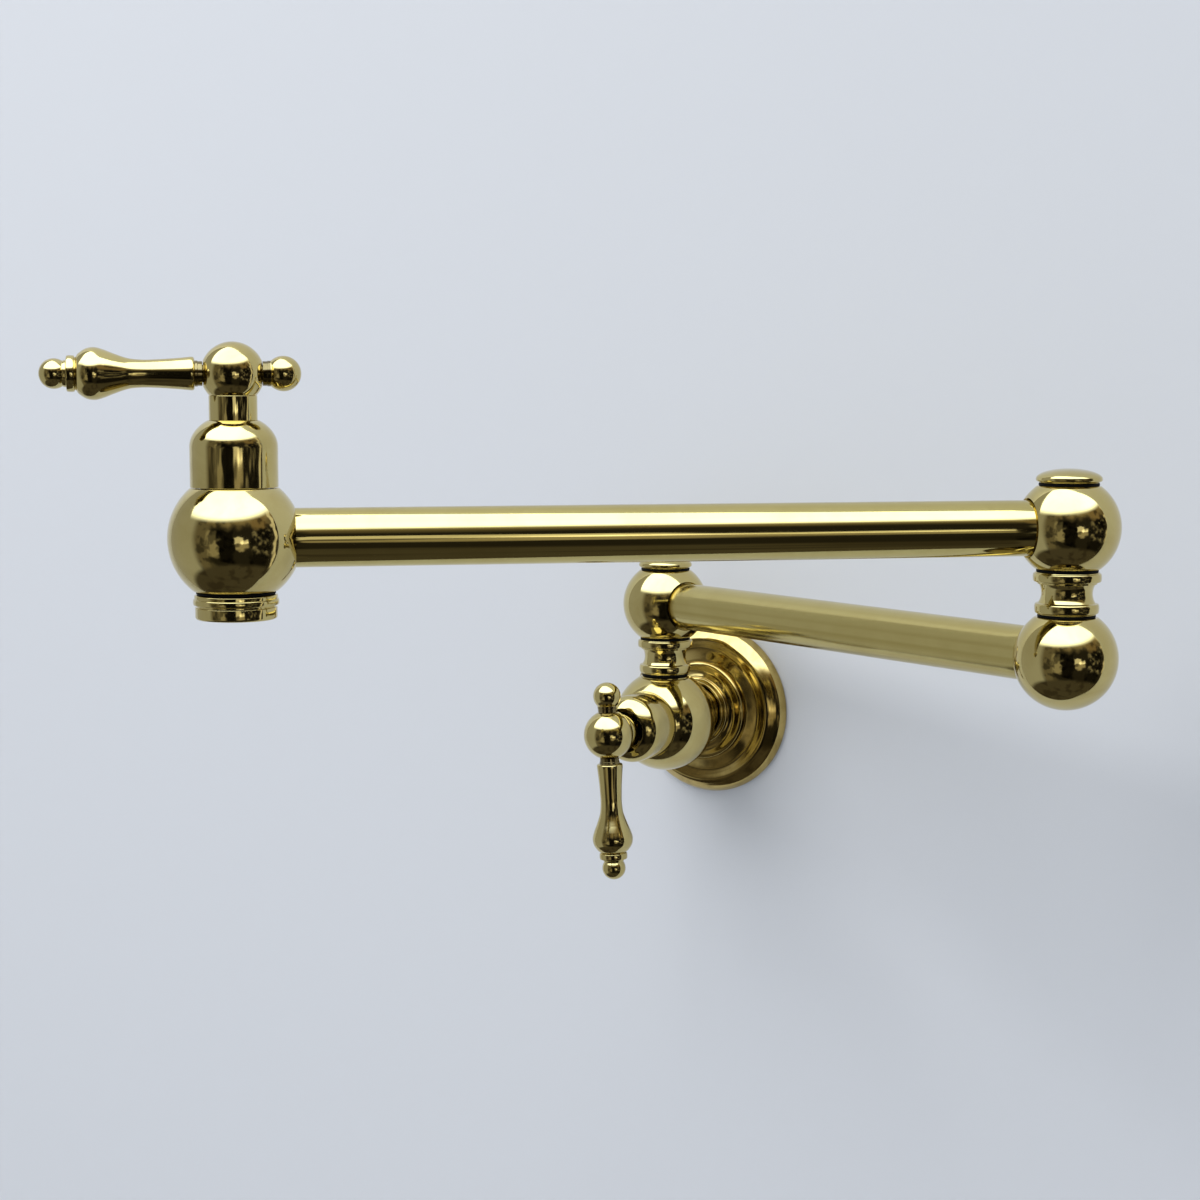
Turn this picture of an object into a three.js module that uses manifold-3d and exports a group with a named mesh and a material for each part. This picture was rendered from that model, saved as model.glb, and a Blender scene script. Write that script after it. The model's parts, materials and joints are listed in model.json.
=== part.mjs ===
// Wall mounted pot filler: a brass tap on two jointed arms that fold against the wall above a hob.
// A quarter-turn valve at the wall feeds a lower arm, an elbow feeds an upper arm, and a second
// quarter-turn valve at the arm's end opens the outlet.
//
// Millimetres. X runs to the right along the wall, Y points into the wall and Z is up. The origin
// is the centre of the wall flange, on the wall's face, so the whole tap lies at negative Y and
// only the threaded inlet nipple reaches behind the wall's face.
import * as THREE from "three";
import { mergeVertices } from "three/addons/utils/BufferGeometryUtils.js";
import Module from "manifold-3d";

const wasm = await Module();
wasm.setup();

// ---- clearances ----------------------------------------------------------------------------
const FIT = 0.3; // between pieces that are screwed, pressed or soldered together
const RUN = 0.3; // radial, between pieces that turn in each other
const FACE = 0.25; // axial, between stacked faces
const NIP = 0.1; // between a seal ring and its groove
const CUT_PAST = 1; // how far a cutting tool runs past the face that it opens
const HOLLOW_REACH = 4; // how far a cross bore starts inside the hollow that it meets

// ---- facets --------------------------------------------------------------------------------
const FLANGE_SIDES = 28;
const BODY_SIDES = 20;
const CORE_SIDES = 16;
const SMALL_SIDES = 12;
const SEAL_SIDES = 5; // of a seal ring's section
const HEX_SIDES = 6;
const HOLE_SIDES = 6; // of a hole in the aerator's discs

// ---- arms ----------------------------------------------------------------------------------
const TUBE_RADIUS = 10;
const TUBE_WALL = 1.2;
const FIRST_ARM_LENGTH = 236.4; // wall swivel axis to elbow axis
const SECOND_ARM_LENGTH = 293.3; // elbow axis to outlet axis
const FIRST_ARM_YAW = -23.5; // degrees from +X, seen from above
const SECOND_ARM_YAW = -139; // degrees from +X, seen from above

// ---- balls ---------------------------------------------------------------------------------
const JOINT_BALL_RADIUS = 18.7;
const JOINT_BALL_TOP = 15; // height of the flat under the cap or the spool
const JOINT_BALL_FOOT = 14.75; // depth of the flat over the spool
const VALVE_BALL_RADIUS = 22.4;
const VALVE_STANDOFF = 44; // wall face to valve centre
const BONNET_SEAT = 16.9; // flat on a valve ball that the bonnet stands on
const PASSAGE_RADIUS = 5.8;
const SOCKET_LEDGE = 1.2; // metal between a ball's core bore and the tube's socket
const VALVE_SOCKET_LEDGE = 1.5;

// ---- swivel joint --------------------------------------------------------------------------
const STEM_RADIUS = 7.4;
const STEM_BORE = 4.4;
const STEM_ENGAGEMENT = 8; // thread inside the lower ball
const STEM_GROOVE_RADIUS = 5.7;
const STEM_GROOVE_HALF = 1.1;
const STEM_SEAL_OFFSET = 10.5; // from the upper ball's centre to each seal ring
const STEM_PORT_RADIUS = 3.2;
const STEM_BORE_PAST = 1; // how far the bore goes past the ports
const STEM_STUD_RADIUS = 4.5; // carries the cap
const STEM_STUD_HEIGHT = 3.8;
const CHAMBER_RADIUS = 11;
const CHAMBER_HALF = 7;
const WASHER_THICKNESS = 0.9;
const LOWER_WASHER_RADIUS = 10.55;
const UPPER_WASHER_RADIUS = 11.5;
const CAP_WASHER_RADIUS = 11.15;
const SPOOL_HEIGHT = 14.45;
const SPOOL_WAIST_RADIUS = 9.1;
const SPOOL_WAIST_AT = 7;
const LOWER_BEAD_RADIUS = 11.45;
const LOWER_BEAD_HEIGHT = 3.6;
const UPPER_BEAD_RADIUS = 12.15;
const UPPER_BEAD_HEIGHT = 3.1;
const STEP_RADIUS = 10.65;
const STEP_HEIGHT = 0.75;
const STEP_OVERHANG = 0.6;
const BEAD_FALL = 0.2;
const CAP_RADIUS = 11.75;
const CAP_EDGE = 1;
const CAP_DOME = 3.7;
const STUD_HEADROOM = 1; // left over the stem's stud inside the cap
const VALVE_BOSS_RADIUS = 10.7;
const VALVE_BOSS_TOP = 20.1; // above the valve centre
const BOSS_ROOT = 3; // metal between the core's bore and the boss's hidden end

// ---- wall fitting --------------------------------------------------------------------------
const FLANGE_RADIUS = 38.9;
const FLANGE_EDGE = 2;
const FLANGE_CHAMFER = 0.4;
const FLANGE_SWELL = 1; // how far the rim's slope bulges
const FLANGE_SAG = 0.3; // how far the slope into the dish is hollow
const FLANGE_CREST_RADIUS = 32.2;
const FLANGE_CREST = 9.2;
const FLANGE_DISH_RADIUS = 27.5;
const FLANGE_DISH = 8.2;
const FLANGE_INNER_RADIUS = 23.2;
const FLANGE_INNER = 9.5;
const FLANGE_WALL = 2;
const FLANGE_RIM = 4; // width of the flat that bears on the wall
const COLLAR_RADIUS = 22.3;
const COLLAR_SHOULDER = 12.5; // height of the collar's rounded shoulder above the wall
const COLLAR_STEP_RADIUS = 15.4;
const COLLAR_STEP = 15;
const COLLAR_STEP_FALL = 0.6; // how much higher the step starts than the shoulder
const COLLAR_TOP_RADIUS = 13.9;
const COLLAR_TOP = 16;
const NECK_RADIUS = 12.6;
const NECK_BACK = 6; // wall face to the back of the valve's neck
const NIPPLE_RADIUS = 10.4; // half inch male pipe thread
const NIPPLE_BARREL_RADIUS = 9.7;
const NIPPLE_BORE = 7.3;
const NIPPLE_REACH = 25; // behind the wall face
const NIPPLE_ENGAGEMENT = 18; // inside the valve's neck
const NIPPLE_SEAL_HEIGHT = 1.4;

// ---- quarter-turn cartridge, measured along its axis from the valve centre -----------------
const CORE_BORE = 11.5;
const SEAT_LEVEL = -6;
const SEAT_WEB = 3;
const SEAT_HOLE = 5.5;
const SEAT_SEAL_HEIGHT = 1.35;
const SEAT_SEAL_WALL = 3.2;
const DISC_RADIUS = 9.2;
const DISC_HEIGHT = 2.5;
const DISC_PORT_RADIUS = 2.6;
const DISC_PORT_AT = 5.4;
const TONGUE_LENGTH = 7.2;
const TONGUE_WIDTH = 2.4;
const TONGUE_DEPTH = 1;
const CARTRIDGE_RADIUS = 11.1;
const CARTRIDGE_GROOVE = 1.5;
const CARTRIDGE_GROOVE_RADIUS = CARTRIDGE_RADIUS - CARTRIDGE_GROOVE;
const CARTRIDGE_SHOULDER = 1;
const WINDOW_RIM = 0.5;
const CARTRIDGE_ROOF = 6.5;
const CARTRIDGE_WINDOW = 6;
const CARTRIDGE_SEAL_AT = 10.5;
const CARTRIDGE_HEX_RADIUS = 12.6;
const CARTRIDGE_HEX_HEIGHT = 4.5;
const CARTRIDGE_NECK_RADIUS = 8;
const CARTRIDGE_TOP = 27;
const SEAL_GROOVE_HALF = 1.1;
const SPINDLE_RADIUS = 4;
const SPINDLE_FOOT_RADIUS = 5.2;
const SPINDLE_FOOT_HEIGHT = 3.2;
const SPINDLE_GROOVE_RADIUS = 2.6;
const SPINDLE_SEAL_AT = 17;
const SPINDLE_TIP_RADIUS = 3.5;
const CLIP_RADIUS = 6.2;
const CLIP_THICKNESS = 1;
const CLIP_GROOVE = 0.6;
const CLIP_TO_TIP = 3; // clip to the narrowed end that the hub sits on
const CLIP_MOUTH = 4;

// ---- bonnets, hubs and levers --------------------------------------------------------------
const BONNET_RADIUS = 14.6;
const BONNET_WALL = 1.5;
const BONNET_SHOULDER = 30.4;
const WALL_BONNET_MOUTH_RADIUS = 9.6;
const WALL_BONNET_MOUTH = 37;
const OUTLET_BONNET_MOUTH_RADIUS = 8.5;
const OUTLET_BONNET_MOUTH = 39.3;
const WALL_HUB_CENTRE = 49.6;
const OUTLET_HUB_CENTRE = 54.7;
const HUB_RADIUS = 10.6;
const HUB_FLAT = 10.1; // from the hub's centre to the flats that the lever and finial meet
const HUB_NECK_RADIUS = 8;
const HUB_NECK_SUNK = 1.5; // how far the neck reaches into the bonnet's mouth
const HUB_SOCKET_ABOVE = 2.5;
const STUD_RADIUS = 2.9;
const STUD_LENGTH = 4.4;
const SET_SCREW_RADIUS = 1.5;
const SET_SCREW_BELOW = 10.2; // below the hub's centre
const SET_SCREW_SUNK = 0.6;
const LEVER_NECK_RADIUS = 4.25;
const LEVER_GRIP_START = 12.4; // from the hub's centre, as the next distances are
const LEVER_GRIP_RADIUS = 5.55;
const LEVER_WAIST_AT = 29.5;
const LEVER_WAIST_RADIUS = 4.6;
const LEVER_BULB_AT = 44;
const LEVER_BULB_RADIUS = 8.65;
const LEVER_BULB_END = 50.5;
const LEVER_RING_RADIUS = 6;
const LEVER_RING_GAP = 0.4;
const LEVER_RING_END = 53.6;
const LEVER_TIP_NECK_RADIUS = 4.4;
const LEVER_BALL_RADIUS = 5;
const LEVER_BALL_AT = 57.6;
const FINIAL_BALL_RADIUS = 5.9;
const FINIAL_BALL_AT = 16.7;
const WALL_LEVER_TILT = 2.75; // degrees off straight down

// ---- outlet --------------------------------------------------------------------------------
const OUTLET_SEAT = 17.5; // depth of the flat under the outlet ball
const OUTLET_BORE = 10.8;
const AERATOR_THREAD_RADIUS = 10.5;
const AERATOR_THREAD_HEIGHT = 7.5;
const AERATOR_THREAD_BORE = 8.8;
const AERATOR_WASHER_RADIUS = 13.2;
const AERATOR_WASHER_THICKNESS = 0.7;
const AERATOR_BAND_RADIUS = 13.85;
const AERATOR_BAND_HEIGHT = 1.4;
const AERATOR_BEAD_RADIUS = 14.3;
const AERATOR_BEAD_HEIGHT = 2;
const AERATOR_GROOVE_RADIUS = 13.1;
const AERATOR_GROOVE_HEIGHT = 0.8;
const AERATOR_SHELL_RADIUS = 13.65;
const AERATOR_SHELL_HEIGHT = 4;
const AERATOR_CORNER = 0.8;
const AERATOR_BORE = 11.4;
const INSERT_HEIGHT = 4.2;
const INSERT_HOLE_RADIUS = 1.3;
const SCREEN_HEIGHT = 0.8;
const SCREEN_HOLE_RADIUS = 1.2;

// ---- finishes ------------------------------------------------------------------------------
const BRASS = new THREE.MeshStandardMaterial({ color: 0xb5a468, metalness: 1, roughness: 0.18 });
const BRUSHED_BRASS = new THREE.MeshStandardMaterial({ color: 0xad9a5c, metalness: 1, roughness: 0.34 });
const FLANGE_BRASS = new THREE.MeshStandardMaterial({ color: 0xa98a45, metalness: 1, roughness: 0.22 });
const RAW_BRASS = new THREE.MeshStandardMaterial({ color: 0xa48a48, metalness: 1, roughness: 0.45 });
const RUBBER = new THREE.MeshStandardMaterial({ color: 0x121212, metalness: 0, roughness: 0.6 });
const CERAMIC = new THREE.MeshStandardMaterial({ color: 0xf0efe8, metalness: 0, roughness: 0.25 });
const STEEL = new THREE.MeshStandardMaterial({ color: 0x9a9a98, metalness: 1, roughness: 0.35 });
const PLASTIC = new THREE.MeshStandardMaterial({ color: 0xd8d9d6, metalness: 0, roughness: 0.5 });

// ---- solid geometry ------------------------------------------------------------------------
const MERGE_DISTANCE = 1e-4;
const QUARTER_TURN = Math.PI / 2;
const radians = THREE.MathUtils.degToRad;

function solidOf(geometry) {
  const bare = new THREE.BufferGeometry();
  bare.setAttribute("position", geometry.getAttribute("position"));
  bare.setIndex(geometry.index);
  const shell = mergeVertices(bare, MERGE_DISTANCE);
  const corners = shell.index.array;
  const triangles = [];
  for (let i = 0; i < corners.length; i += 3) {
    const [a, b, c] = corners.slice(i, i + 3);
    if (a !== b && b !== c && c !== a) triangles.push(a, b, c);
  }
  const vertProperties = new Float32Array(shell.getAttribute("position").array);
  const triVerts = new Uint32Array(triangles);
  return new wasm.Manifold(new wasm.Mesh({ numProp: 3, vertProperties, triVerts }));
}

function geometryOf(solid) {
  const mesh = solid.getMesh();
  const geometry = new THREE.BufferGeometry();
  geometry.setAttribute("position", new THREE.BufferAttribute(mesh.vertProperties, 3));
  geometry.setIndex(new THREE.BufferAttribute(mesh.triVerts, 1));
  return geometry;
}

const cut = (body, ...tools) =>
  geometryOf(tools.reduce((left, tool) => left.subtract(solidOf(tool)), solidOf(body)));

const join = (body, ...others) =>
  geometryOf(others.reduce((sum, other) => sum.add(solidOf(other)), solidOf(body)));

// A solid turned about Z from a closed outline of [radius, height] points, in either direction.
function turned(outline, sides) {
  const points = outline.map(([radius, height]) => new THREE.Vector2(radius, height));
  if (THREE.ShapeUtils.area(points) < 0) points.reverse();
  points.push(points[0].clone());
  const geometry = new THREE.LatheGeometry(points, sides);
  geometry.rotateX(QUARTER_TURN);
  return geometryOf(solidOf(geometry));
}

const rod = (radius, low, high, sides) => turned([[0, low], [radius, low], [radius, high], [0, high]], sides);
const tube = (inner, outer, low, high, sides) =>
  turned([[inner, low], [outer, low], [outer, high], [inner, high]], sides);
const alongX = (geometry) => geometry.rotateY(QUARTER_TURN);
const alongY = (geometry) => geometry.rotateX(-QUARTER_TURN);

// Outline points on a circle about [radius, height], from one angle to another in degrees,
// where 0 points outwards and 90 points up.
function arc(radiusAt, heightAt, size, from, to, steps) {
  const points = [];
  for (let i = 0; i <= steps; i += 1) {
    const angle = radians(from + ((to - from) * i) / steps);
    points.push([radiusAt + size * Math.cos(angle), heightAt + size * Math.sin(angle)]);
  }
  return points;
}

// Outline points on a ball about the origin, from one height to another.
function ballArc(size, low, high, steps) {
  const angleAt = (height) => THREE.MathUtils.radToDeg(Math.asin(height / size));
  return arc(0, 0, size, angleAt(low), angleAt(high), steps);
}

// Outline points of a bead that stands out from its foot radius to its crown radius.
function bead(foot, crown, low, height, steps) {
  const points = [];
  for (let i = 0; i <= steps; i += 1) {
    const bulge = Math.sqrt(Math.sin((Math.PI * i) / steps));
    points.push([foot + (crown - foot) * bulge, low + (height * i) / steps]);
  }
  return points;
}

const curve = (points, steps) =>
  new THREE.SplineCurve(points.map(([radius, height]) => new THREE.Vector2(radius, height)))
    .getPoints(steps)
    .map((point) => [point.x, point.y]);

// A seal ring of round section that fills the space between a groove and a bore.
function sealRing(grooveRadius, boreRadius, at) {
  const section = (boreRadius - grooveRadius) / 2 - NIP;
  const lastTurn = 360 - 360 / SEAL_SIDES;
  return turned(arc((boreRadius + grooveRadius) / 2, at, section, 0, lastTurn, SEAL_SIDES - 1), CORE_SIDES);
}

const piece = (name, geometry, material) => {
  const mesh = new THREE.Mesh(geometry, material);
  mesh.name = name;
  return mesh;
};

// ---- wall fitting, measured outwards from the wall face -------------------------------------
const NECK_HOLE = NECK_RADIUS + FIT;

function wallFlange() {
  const bore = NECK_HOLE;
  const back = FLANGE_INNER - FLANGE_WALL;
  const hollow = FLANGE_RADIUS - FLANGE_RIM;
  const front = curve(
    [
      [FLANGE_RADIUS - FLANGE_CHAMFER, FLANGE_EDGE + FLANGE_CHAMFER],
      [
        (FLANGE_RADIUS + FLANGE_CREST_RADIUS) / 2 + FLANGE_SWELL,
        (FLANGE_EDGE + FLANGE_CREST) / 2 + FLANGE_SWELL,
      ],
      [FLANGE_CREST_RADIUS, FLANGE_CREST],
    ],
    4,
  );
  return turned(
    [
      [hollow, 0],
      [FLANGE_RADIUS, 0],
      [FLANGE_RADIUS, FLANGE_EDGE],
      ...front,
      [(FLANGE_CREST_RADIUS + FLANGE_DISH_RADIUS) / 2, (FLANGE_CREST + FLANGE_DISH) / 2 - FLANGE_SAG],
      [FLANGE_DISH_RADIUS, FLANGE_DISH],
      [FLANGE_INNER_RADIUS, FLANGE_INNER],
      [bore, FLANGE_INNER],
      [bore, back],
      [FLANGE_DISH_RADIUS - FLANGE_WALL, FLANGE_DISH - FLANGE_WALL],
      [FLANGE_CREST_RADIUS - FLANGE_WALL / 2, FLANGE_DISH - FLANGE_WALL],
    ],
    FLANGE_SIDES,
  );
}

function flangeCollar() {
  const foot = FLANGE_INNER + FACE;
  const rounding = 1.4;
  return turned(
    [
      [NECK_HOLE, foot],
      [COLLAR_RADIUS, foot],
      ...arc(COLLAR_RADIUS - rounding, COLLAR_SHOULDER - rounding, rounding, 0, 90, 2),
      [COLLAR_STEP_RADIUS, COLLAR_SHOULDER + COLLAR_STEP_FALL],
      [COLLAR_STEP_RADIUS, COLLAR_STEP],
      [COLLAR_TOP_RADIUS, COLLAR_TOP],
      [NECK_HOLE, COLLAR_TOP],
    ],
    BODY_SIDES,
  );
}

const NIPPLE_FRONT = NECK_BACK + NIPPLE_ENGAGEMENT;
const NIPPLE_SEAL_SEAT = NIPPLE_FRONT + NIPPLE_SEAL_HEIGHT + 2 * FACE;

function inletNipple() {
  const chamfer = NIPPLE_RADIUS - NIPPLE_BARREL_RADIUS;
  return turned(
    [
      [NIPPLE_BORE, -NIPPLE_REACH],
      [NIPPLE_BARREL_RADIUS, -NIPPLE_REACH],
      [NIPPLE_RADIUS, -NIPPLE_REACH + chamfer],
      [NIPPLE_RADIUS, -NECK_BACK - chamfer],
      [NIPPLE_BARREL_RADIUS, -NECK_BACK],
      [NIPPLE_BARREL_RADIUS, NECK_BACK - chamfer],
      [NIPPLE_RADIUS, NECK_BACK],
      [NIPPLE_RADIUS, NIPPLE_FRONT],
      [NIPPLE_BORE, NIPPLE_FRONT],
    ],
    CORE_SIDES,
  );
}

const nippleSeal = () =>
  tube(NIPPLE_BORE, NIPPLE_RADIUS, NIPPLE_FRONT + FACE, NIPPLE_FRONT + FACE + NIPPLE_SEAL_HEIGHT, SMALL_SIDES);

// ---- valve bodies, about the ball's centre with the cartridge along +Z ----------------------
function valveBody() {
  const neckBack = NECK_BACK - VALVE_STANDOFF;
  const ballBack = -Math.sqrt(VALVE_BALL_RADIUS ** 2 - NECK_RADIUS ** 2);
  const ledge = NIPPLE_SEAL_SEAT - VALVE_STANDOFF;
  const threadBore = NIPPLE_RADIUS + FIT;
  const ball = turned(
    [
      [threadBore, neckBack],
      [NECK_RADIUS, neckBack],
      ...ballArc(VALVE_BALL_RADIUS, ballBack, BONNET_SEAT, 8),
      [CORE_BORE, BONNET_SEAT],
      [CORE_BORE, SEAT_LEVEL],
      [SEAT_HOLE, SEAT_LEVEL],
      [SEAT_HOLE, SEAT_LEVEL - SEAT_WEB],
      [NIPPLE_BORE, SEAT_LEVEL - SEAT_WEB],
      [NIPPLE_BORE, ledge],
      [threadBore, ledge],
    ],
    BODY_SIDES,
  );
  const boss = alongY(rod(VALVE_BOSS_RADIUS, CORE_BORE + BOSS_ROOT, VALVE_BOSS_TOP, BODY_SIDES));
  const holeFoot = CORE_BORE - HOLLOW_REACH;
  const stemHole = alongY(rod(STEM_RADIUS + RUN, holeFoot, VALVE_BOSS_TOP + CUT_PAST, CORE_SIDES));
  const crown = new THREE.BoxGeometry(2 * VALVE_BALL_RADIUS, VALVE_BALL_RADIUS, 2 * VALVE_BALL_RADIUS);
  crown.translate(0, VALVE_BOSS_TOP + VALVE_BALL_RADIUS / 2, 0);
  return cut(join(ball, boss), crown, stemHole);
}

const VALVE_SOCKET_AT = CORE_BORE + VALVE_SOCKET_LEDGE;

function outletBody() {
  const ball = turned(
    [
      ...ballArc(VALVE_BALL_RADIUS, -OUTLET_SEAT, BONNET_SEAT, 8),
      [CORE_BORE, BONNET_SEAT],
      [CORE_BORE, SEAT_LEVEL],
      [SEAT_HOLE, SEAT_LEVEL],
      [SEAT_HOLE, SEAT_LEVEL - SEAT_WEB],
      [OUTLET_BORE, SEAT_LEVEL - SEAT_WEB],
      [OUTLET_BORE, -OUTLET_SEAT],
    ],
    BODY_SIDES,
  );
  const passage = alongX(rod(PASSAGE_RADIUS, -VALVE_SOCKET_AT - CUT_PAST, HOLLOW_REACH - CORE_BORE, SMALL_SIDES));
  const socket = alongX(rod(TUBE_RADIUS + FIT, -VALVE_BALL_RADIUS - CUT_PAST, -VALVE_SOCKET_AT, BODY_SIDES));
  return cut(ball, passage, socket);
}

// ---- joint balls ---------------------------------------------------------------------------
const STEM_HOLE = STEM_RADIUS + RUN;

// The ball that turns on the stem, with its tube towards +X.
function swivelBall() {
  const ball = turned(
    [
      ...ballArc(JOINT_BALL_RADIUS, -JOINT_BALL_FOOT, JOINT_BALL_TOP, 6),
      [STEM_HOLE, JOINT_BALL_TOP],
      [STEM_HOLE, CHAMBER_HALF],
      [CHAMBER_RADIUS, CHAMBER_HALF],
      [CHAMBER_RADIUS, -CHAMBER_HALF],
      [STEM_HOLE, -CHAMBER_HALF],
      [STEM_HOLE, -JOINT_BALL_FOOT],
    ],
    BODY_SIDES,
  );
  const socketAt = CHAMBER_RADIUS + SOCKET_LEDGE;
  const passage = alongX(rod(PASSAGE_RADIUS, CHAMBER_RADIUS - HOLLOW_REACH, socketAt + CUT_PAST, SMALL_SIDES));
  const socket = alongX(rod(TUBE_RADIUS + FIT, socketAt, JOINT_BALL_RADIUS + CUT_PAST, BODY_SIDES));
  return cut(ball, passage, socket);
}

// The ball that holds the stem, with its tube towards -X.
function elbowLowerBall() {
  const ball = turned(
    [
      ...ballArc(JOINT_BALL_RADIUS, -JOINT_BALL_RADIUS, JOINT_BALL_TOP, 8),
      [STEM_HOLE, JOINT_BALL_TOP],
      [STEM_HOLE, -CHAMBER_HALF],
      [0, -CHAMBER_HALF],
    ],
    BODY_SIDES,
  );
  const socketAt = CHAMBER_RADIUS + SOCKET_LEDGE;
  const passage = alongX(rod(PASSAGE_RADIUS, -socketAt - CUT_PAST, CUT_PAST - STEM_HOLE, SMALL_SIDES));
  const socket = alongX(rod(TUBE_RADIUS + FIT, -JOINT_BALL_RADIUS - CUT_PAST, -socketAt, BODY_SIDES));
  return cut(ball, passage, socket);
}

// ---- swivel joint, measured up from the flat of the lower ball ------------------------------
const SPOOL_FOOT = WASHER_THICKNESS + 2 * FACE;
const UPPER_WASHER_AT = SPOOL_FOOT + SPOOL_HEIGHT + FACE;
const UPPER_BALL_FOOT = UPPER_WASHER_AT + WASHER_THICKNESS + FACE;
const UPPER_BALL_AT = UPPER_BALL_FOOT + JOINT_BALL_FOOT;
const UPPER_BALL_TOP = UPPER_BALL_AT + JOINT_BALL_TOP;
const CAP_FOOT = UPPER_BALL_TOP + WASHER_THICKNESS + 2 * FACE;
const STEM_TOP = UPPER_BALL_TOP - FIT;

const washer = (radius, inner, at) => tube(inner, radius, at, at + WASHER_THICKNESS, CORE_SIDES);

function swivelSpool() {
  const stepFoot = SPOOL_HEIGHT - UPPER_BEAD_HEIGHT - STEP_HEIGHT;
  const outline = [
    [STEM_HOLE, 0],
    ...bead(LOWER_WASHER_RADIUS, LOWER_BEAD_RADIUS, 0, LOWER_BEAD_HEIGHT, 3),
    ...curve(
      [
        [STEP_RADIUS - STEP_OVERHANG, LOWER_BEAD_HEIGHT + BEAD_FALL],
        [SPOOL_WAIST_RADIUS, SPOOL_WAIST_AT],
        [STEP_RADIUS - STEP_OVERHANG, stepFoot],
      ],
      4,
    ),
    [STEP_RADIUS, stepFoot],
    [STEP_RADIUS, stepFoot + STEP_HEIGHT],
    ...bead(UPPER_WASHER_RADIUS, UPPER_BEAD_RADIUS, SPOOL_HEIGHT - UPPER_BEAD_HEIGHT, UPPER_BEAD_HEIGHT, 3),
    [STEM_HOLE, SPOOL_HEIGHT],
  ];
  return turned(outline.map(([radius, height]) => [radius, height + SPOOL_FOOT]), BODY_SIDES);
}

// The hollow pin that the upper ball turns on. Water rises through it and leaves by its ports.
function swivelStem() {
  const boreTop = UPPER_BALL_AT + STEM_PORT_RADIUS + STEM_BORE_PAST;
  const groove = (at) => [
    [STEM_RADIUS, at - STEM_GROOVE_HALF],
    [STEM_GROOVE_RADIUS, at - STEM_GROOVE_HALF],
    [STEM_GROOVE_RADIUS, at + STEM_GROOVE_HALF],
    [STEM_RADIUS, at + STEM_GROOVE_HALF],
  ];
  const shaft = turned(
    [
      [STEM_BORE, -STEM_ENGAGEMENT],
      [STEM_RADIUS, -STEM_ENGAGEMENT],
      ...groove(UPPER_BALL_AT - STEM_SEAL_OFFSET),
      ...groove(UPPER_BALL_AT + STEM_SEAL_OFFSET),
      [STEM_RADIUS, STEM_TOP],
      [STEM_STUD_RADIUS, STEM_TOP],
      [STEM_STUD_RADIUS, CAP_FOOT + STEM_STUD_HEIGHT - FACE - STUD_HEADROOM],
      [0, CAP_FOOT + STEM_STUD_HEIGHT - FACE - STUD_HEADROOM],
      [0, boreTop],
      [STEM_BORE, boreTop],
    ],
    CORE_SIDES,
  );
  const port = rod(STEM_PORT_RADIUS, -STEM_RADIUS - CUT_PAST, STEM_RADIUS + CUT_PAST, SMALL_SIDES);
  return cut(shaft, alongX(port).translate(0, 0, UPPER_BALL_AT));
}

function swivelCap() {
  const steps = 5;
  const crown = [];
  for (let i = 0; i <= steps; i += 1) {
    const angle = (QUARTER_TURN * i) / steps;
    crown.push([CAP_RADIUS * Math.cos(angle), CAP_FOOT + CAP_EDGE + CAP_DOME * Math.sin(angle)]);
  }
  crown[steps][0] = 0;
  const hole = STEM_STUD_RADIUS + FIT;
  return turned(
    [
      [hole, CAP_FOOT],
      [CAP_RADIUS - CAP_EDGE * 0.7, CAP_FOOT],
      ...crown,
      [0, CAP_FOOT + STEM_STUD_HEIGHT - STUD_HEADROOM],
      [hole, CAP_FOOT + STEM_STUD_HEIGHT - STUD_HEADROOM],
    ],
    BODY_SIDES,
  );
}

// The pieces of one swivel joint that stay with its lower ball.
function swivelJoint(name) {
  const lowSeal = UPPER_BALL_AT - STEM_SEAL_OFFSET;
  const highSeal = UPPER_BALL_AT + STEM_SEAL_OFFSET;
  const group = new THREE.Group();
  group.add(
    piece(`${name}_lower_washer`, washer(LOWER_WASHER_RADIUS, STEM_HOLE, FACE), RUBBER),
    piece(`${name}_spool`, swivelSpool(), BRASS),
    piece(`${name}_upper_washer`, washer(UPPER_WASHER_RADIUS, STEM_HOLE, UPPER_WASHER_AT), RUBBER),
    piece(`${name}_stem`, swivelStem(), RAW_BRASS),
    piece(`${name}_lower_o_ring`, sealRing(STEM_GROOVE_RADIUS, STEM_HOLE, lowSeal), RUBBER),
    piece(`${name}_upper_o_ring`, sealRing(STEM_GROOVE_RADIUS, STEM_HOLE, highSeal), RUBBER),
    piece(`${name}_cap_washer`, washer(CAP_WASHER_RADIUS, STEM_STUD_RADIUS + FIT, UPPER_BALL_TOP + FACE), RUBBER),
    piece(`${name}_cap`, swivelCap(), BRASS),
  );
  return group;
}

// ---- quarter-turn cartridge ----------------------------------------------------------------
const SEAL_FOOT = SEAT_LEVEL + FACE;
const FIXED_DISC_FOOT = SEAL_FOOT + SEAT_SEAL_HEIGHT + FACE;
const MOVING_DISC_FOOT = FIXED_DISC_FOOT + DISC_HEIGHT + FACE;
const SPINDLE_FOOT = MOVING_DISC_FOOT + DISC_HEIGHT + FACE;
const SPINDLE_HOLE = SPINDLE_RADIUS + RUN;
const CARTRIDGE_CAVITY = DISC_RADIUS + RUN;
const CARTRIDGE_HEX_FOOT = BONNET_SEAT + FACE;

const seatSeal = () =>
  tube(SEAT_HOLE + FIT, SEAT_HOLE + FIT + SEAT_SEAL_WALL, SEAL_FOOT, SEAL_FOOT + SEAT_SEAL_HEIGHT, CORE_SIDES);

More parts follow.
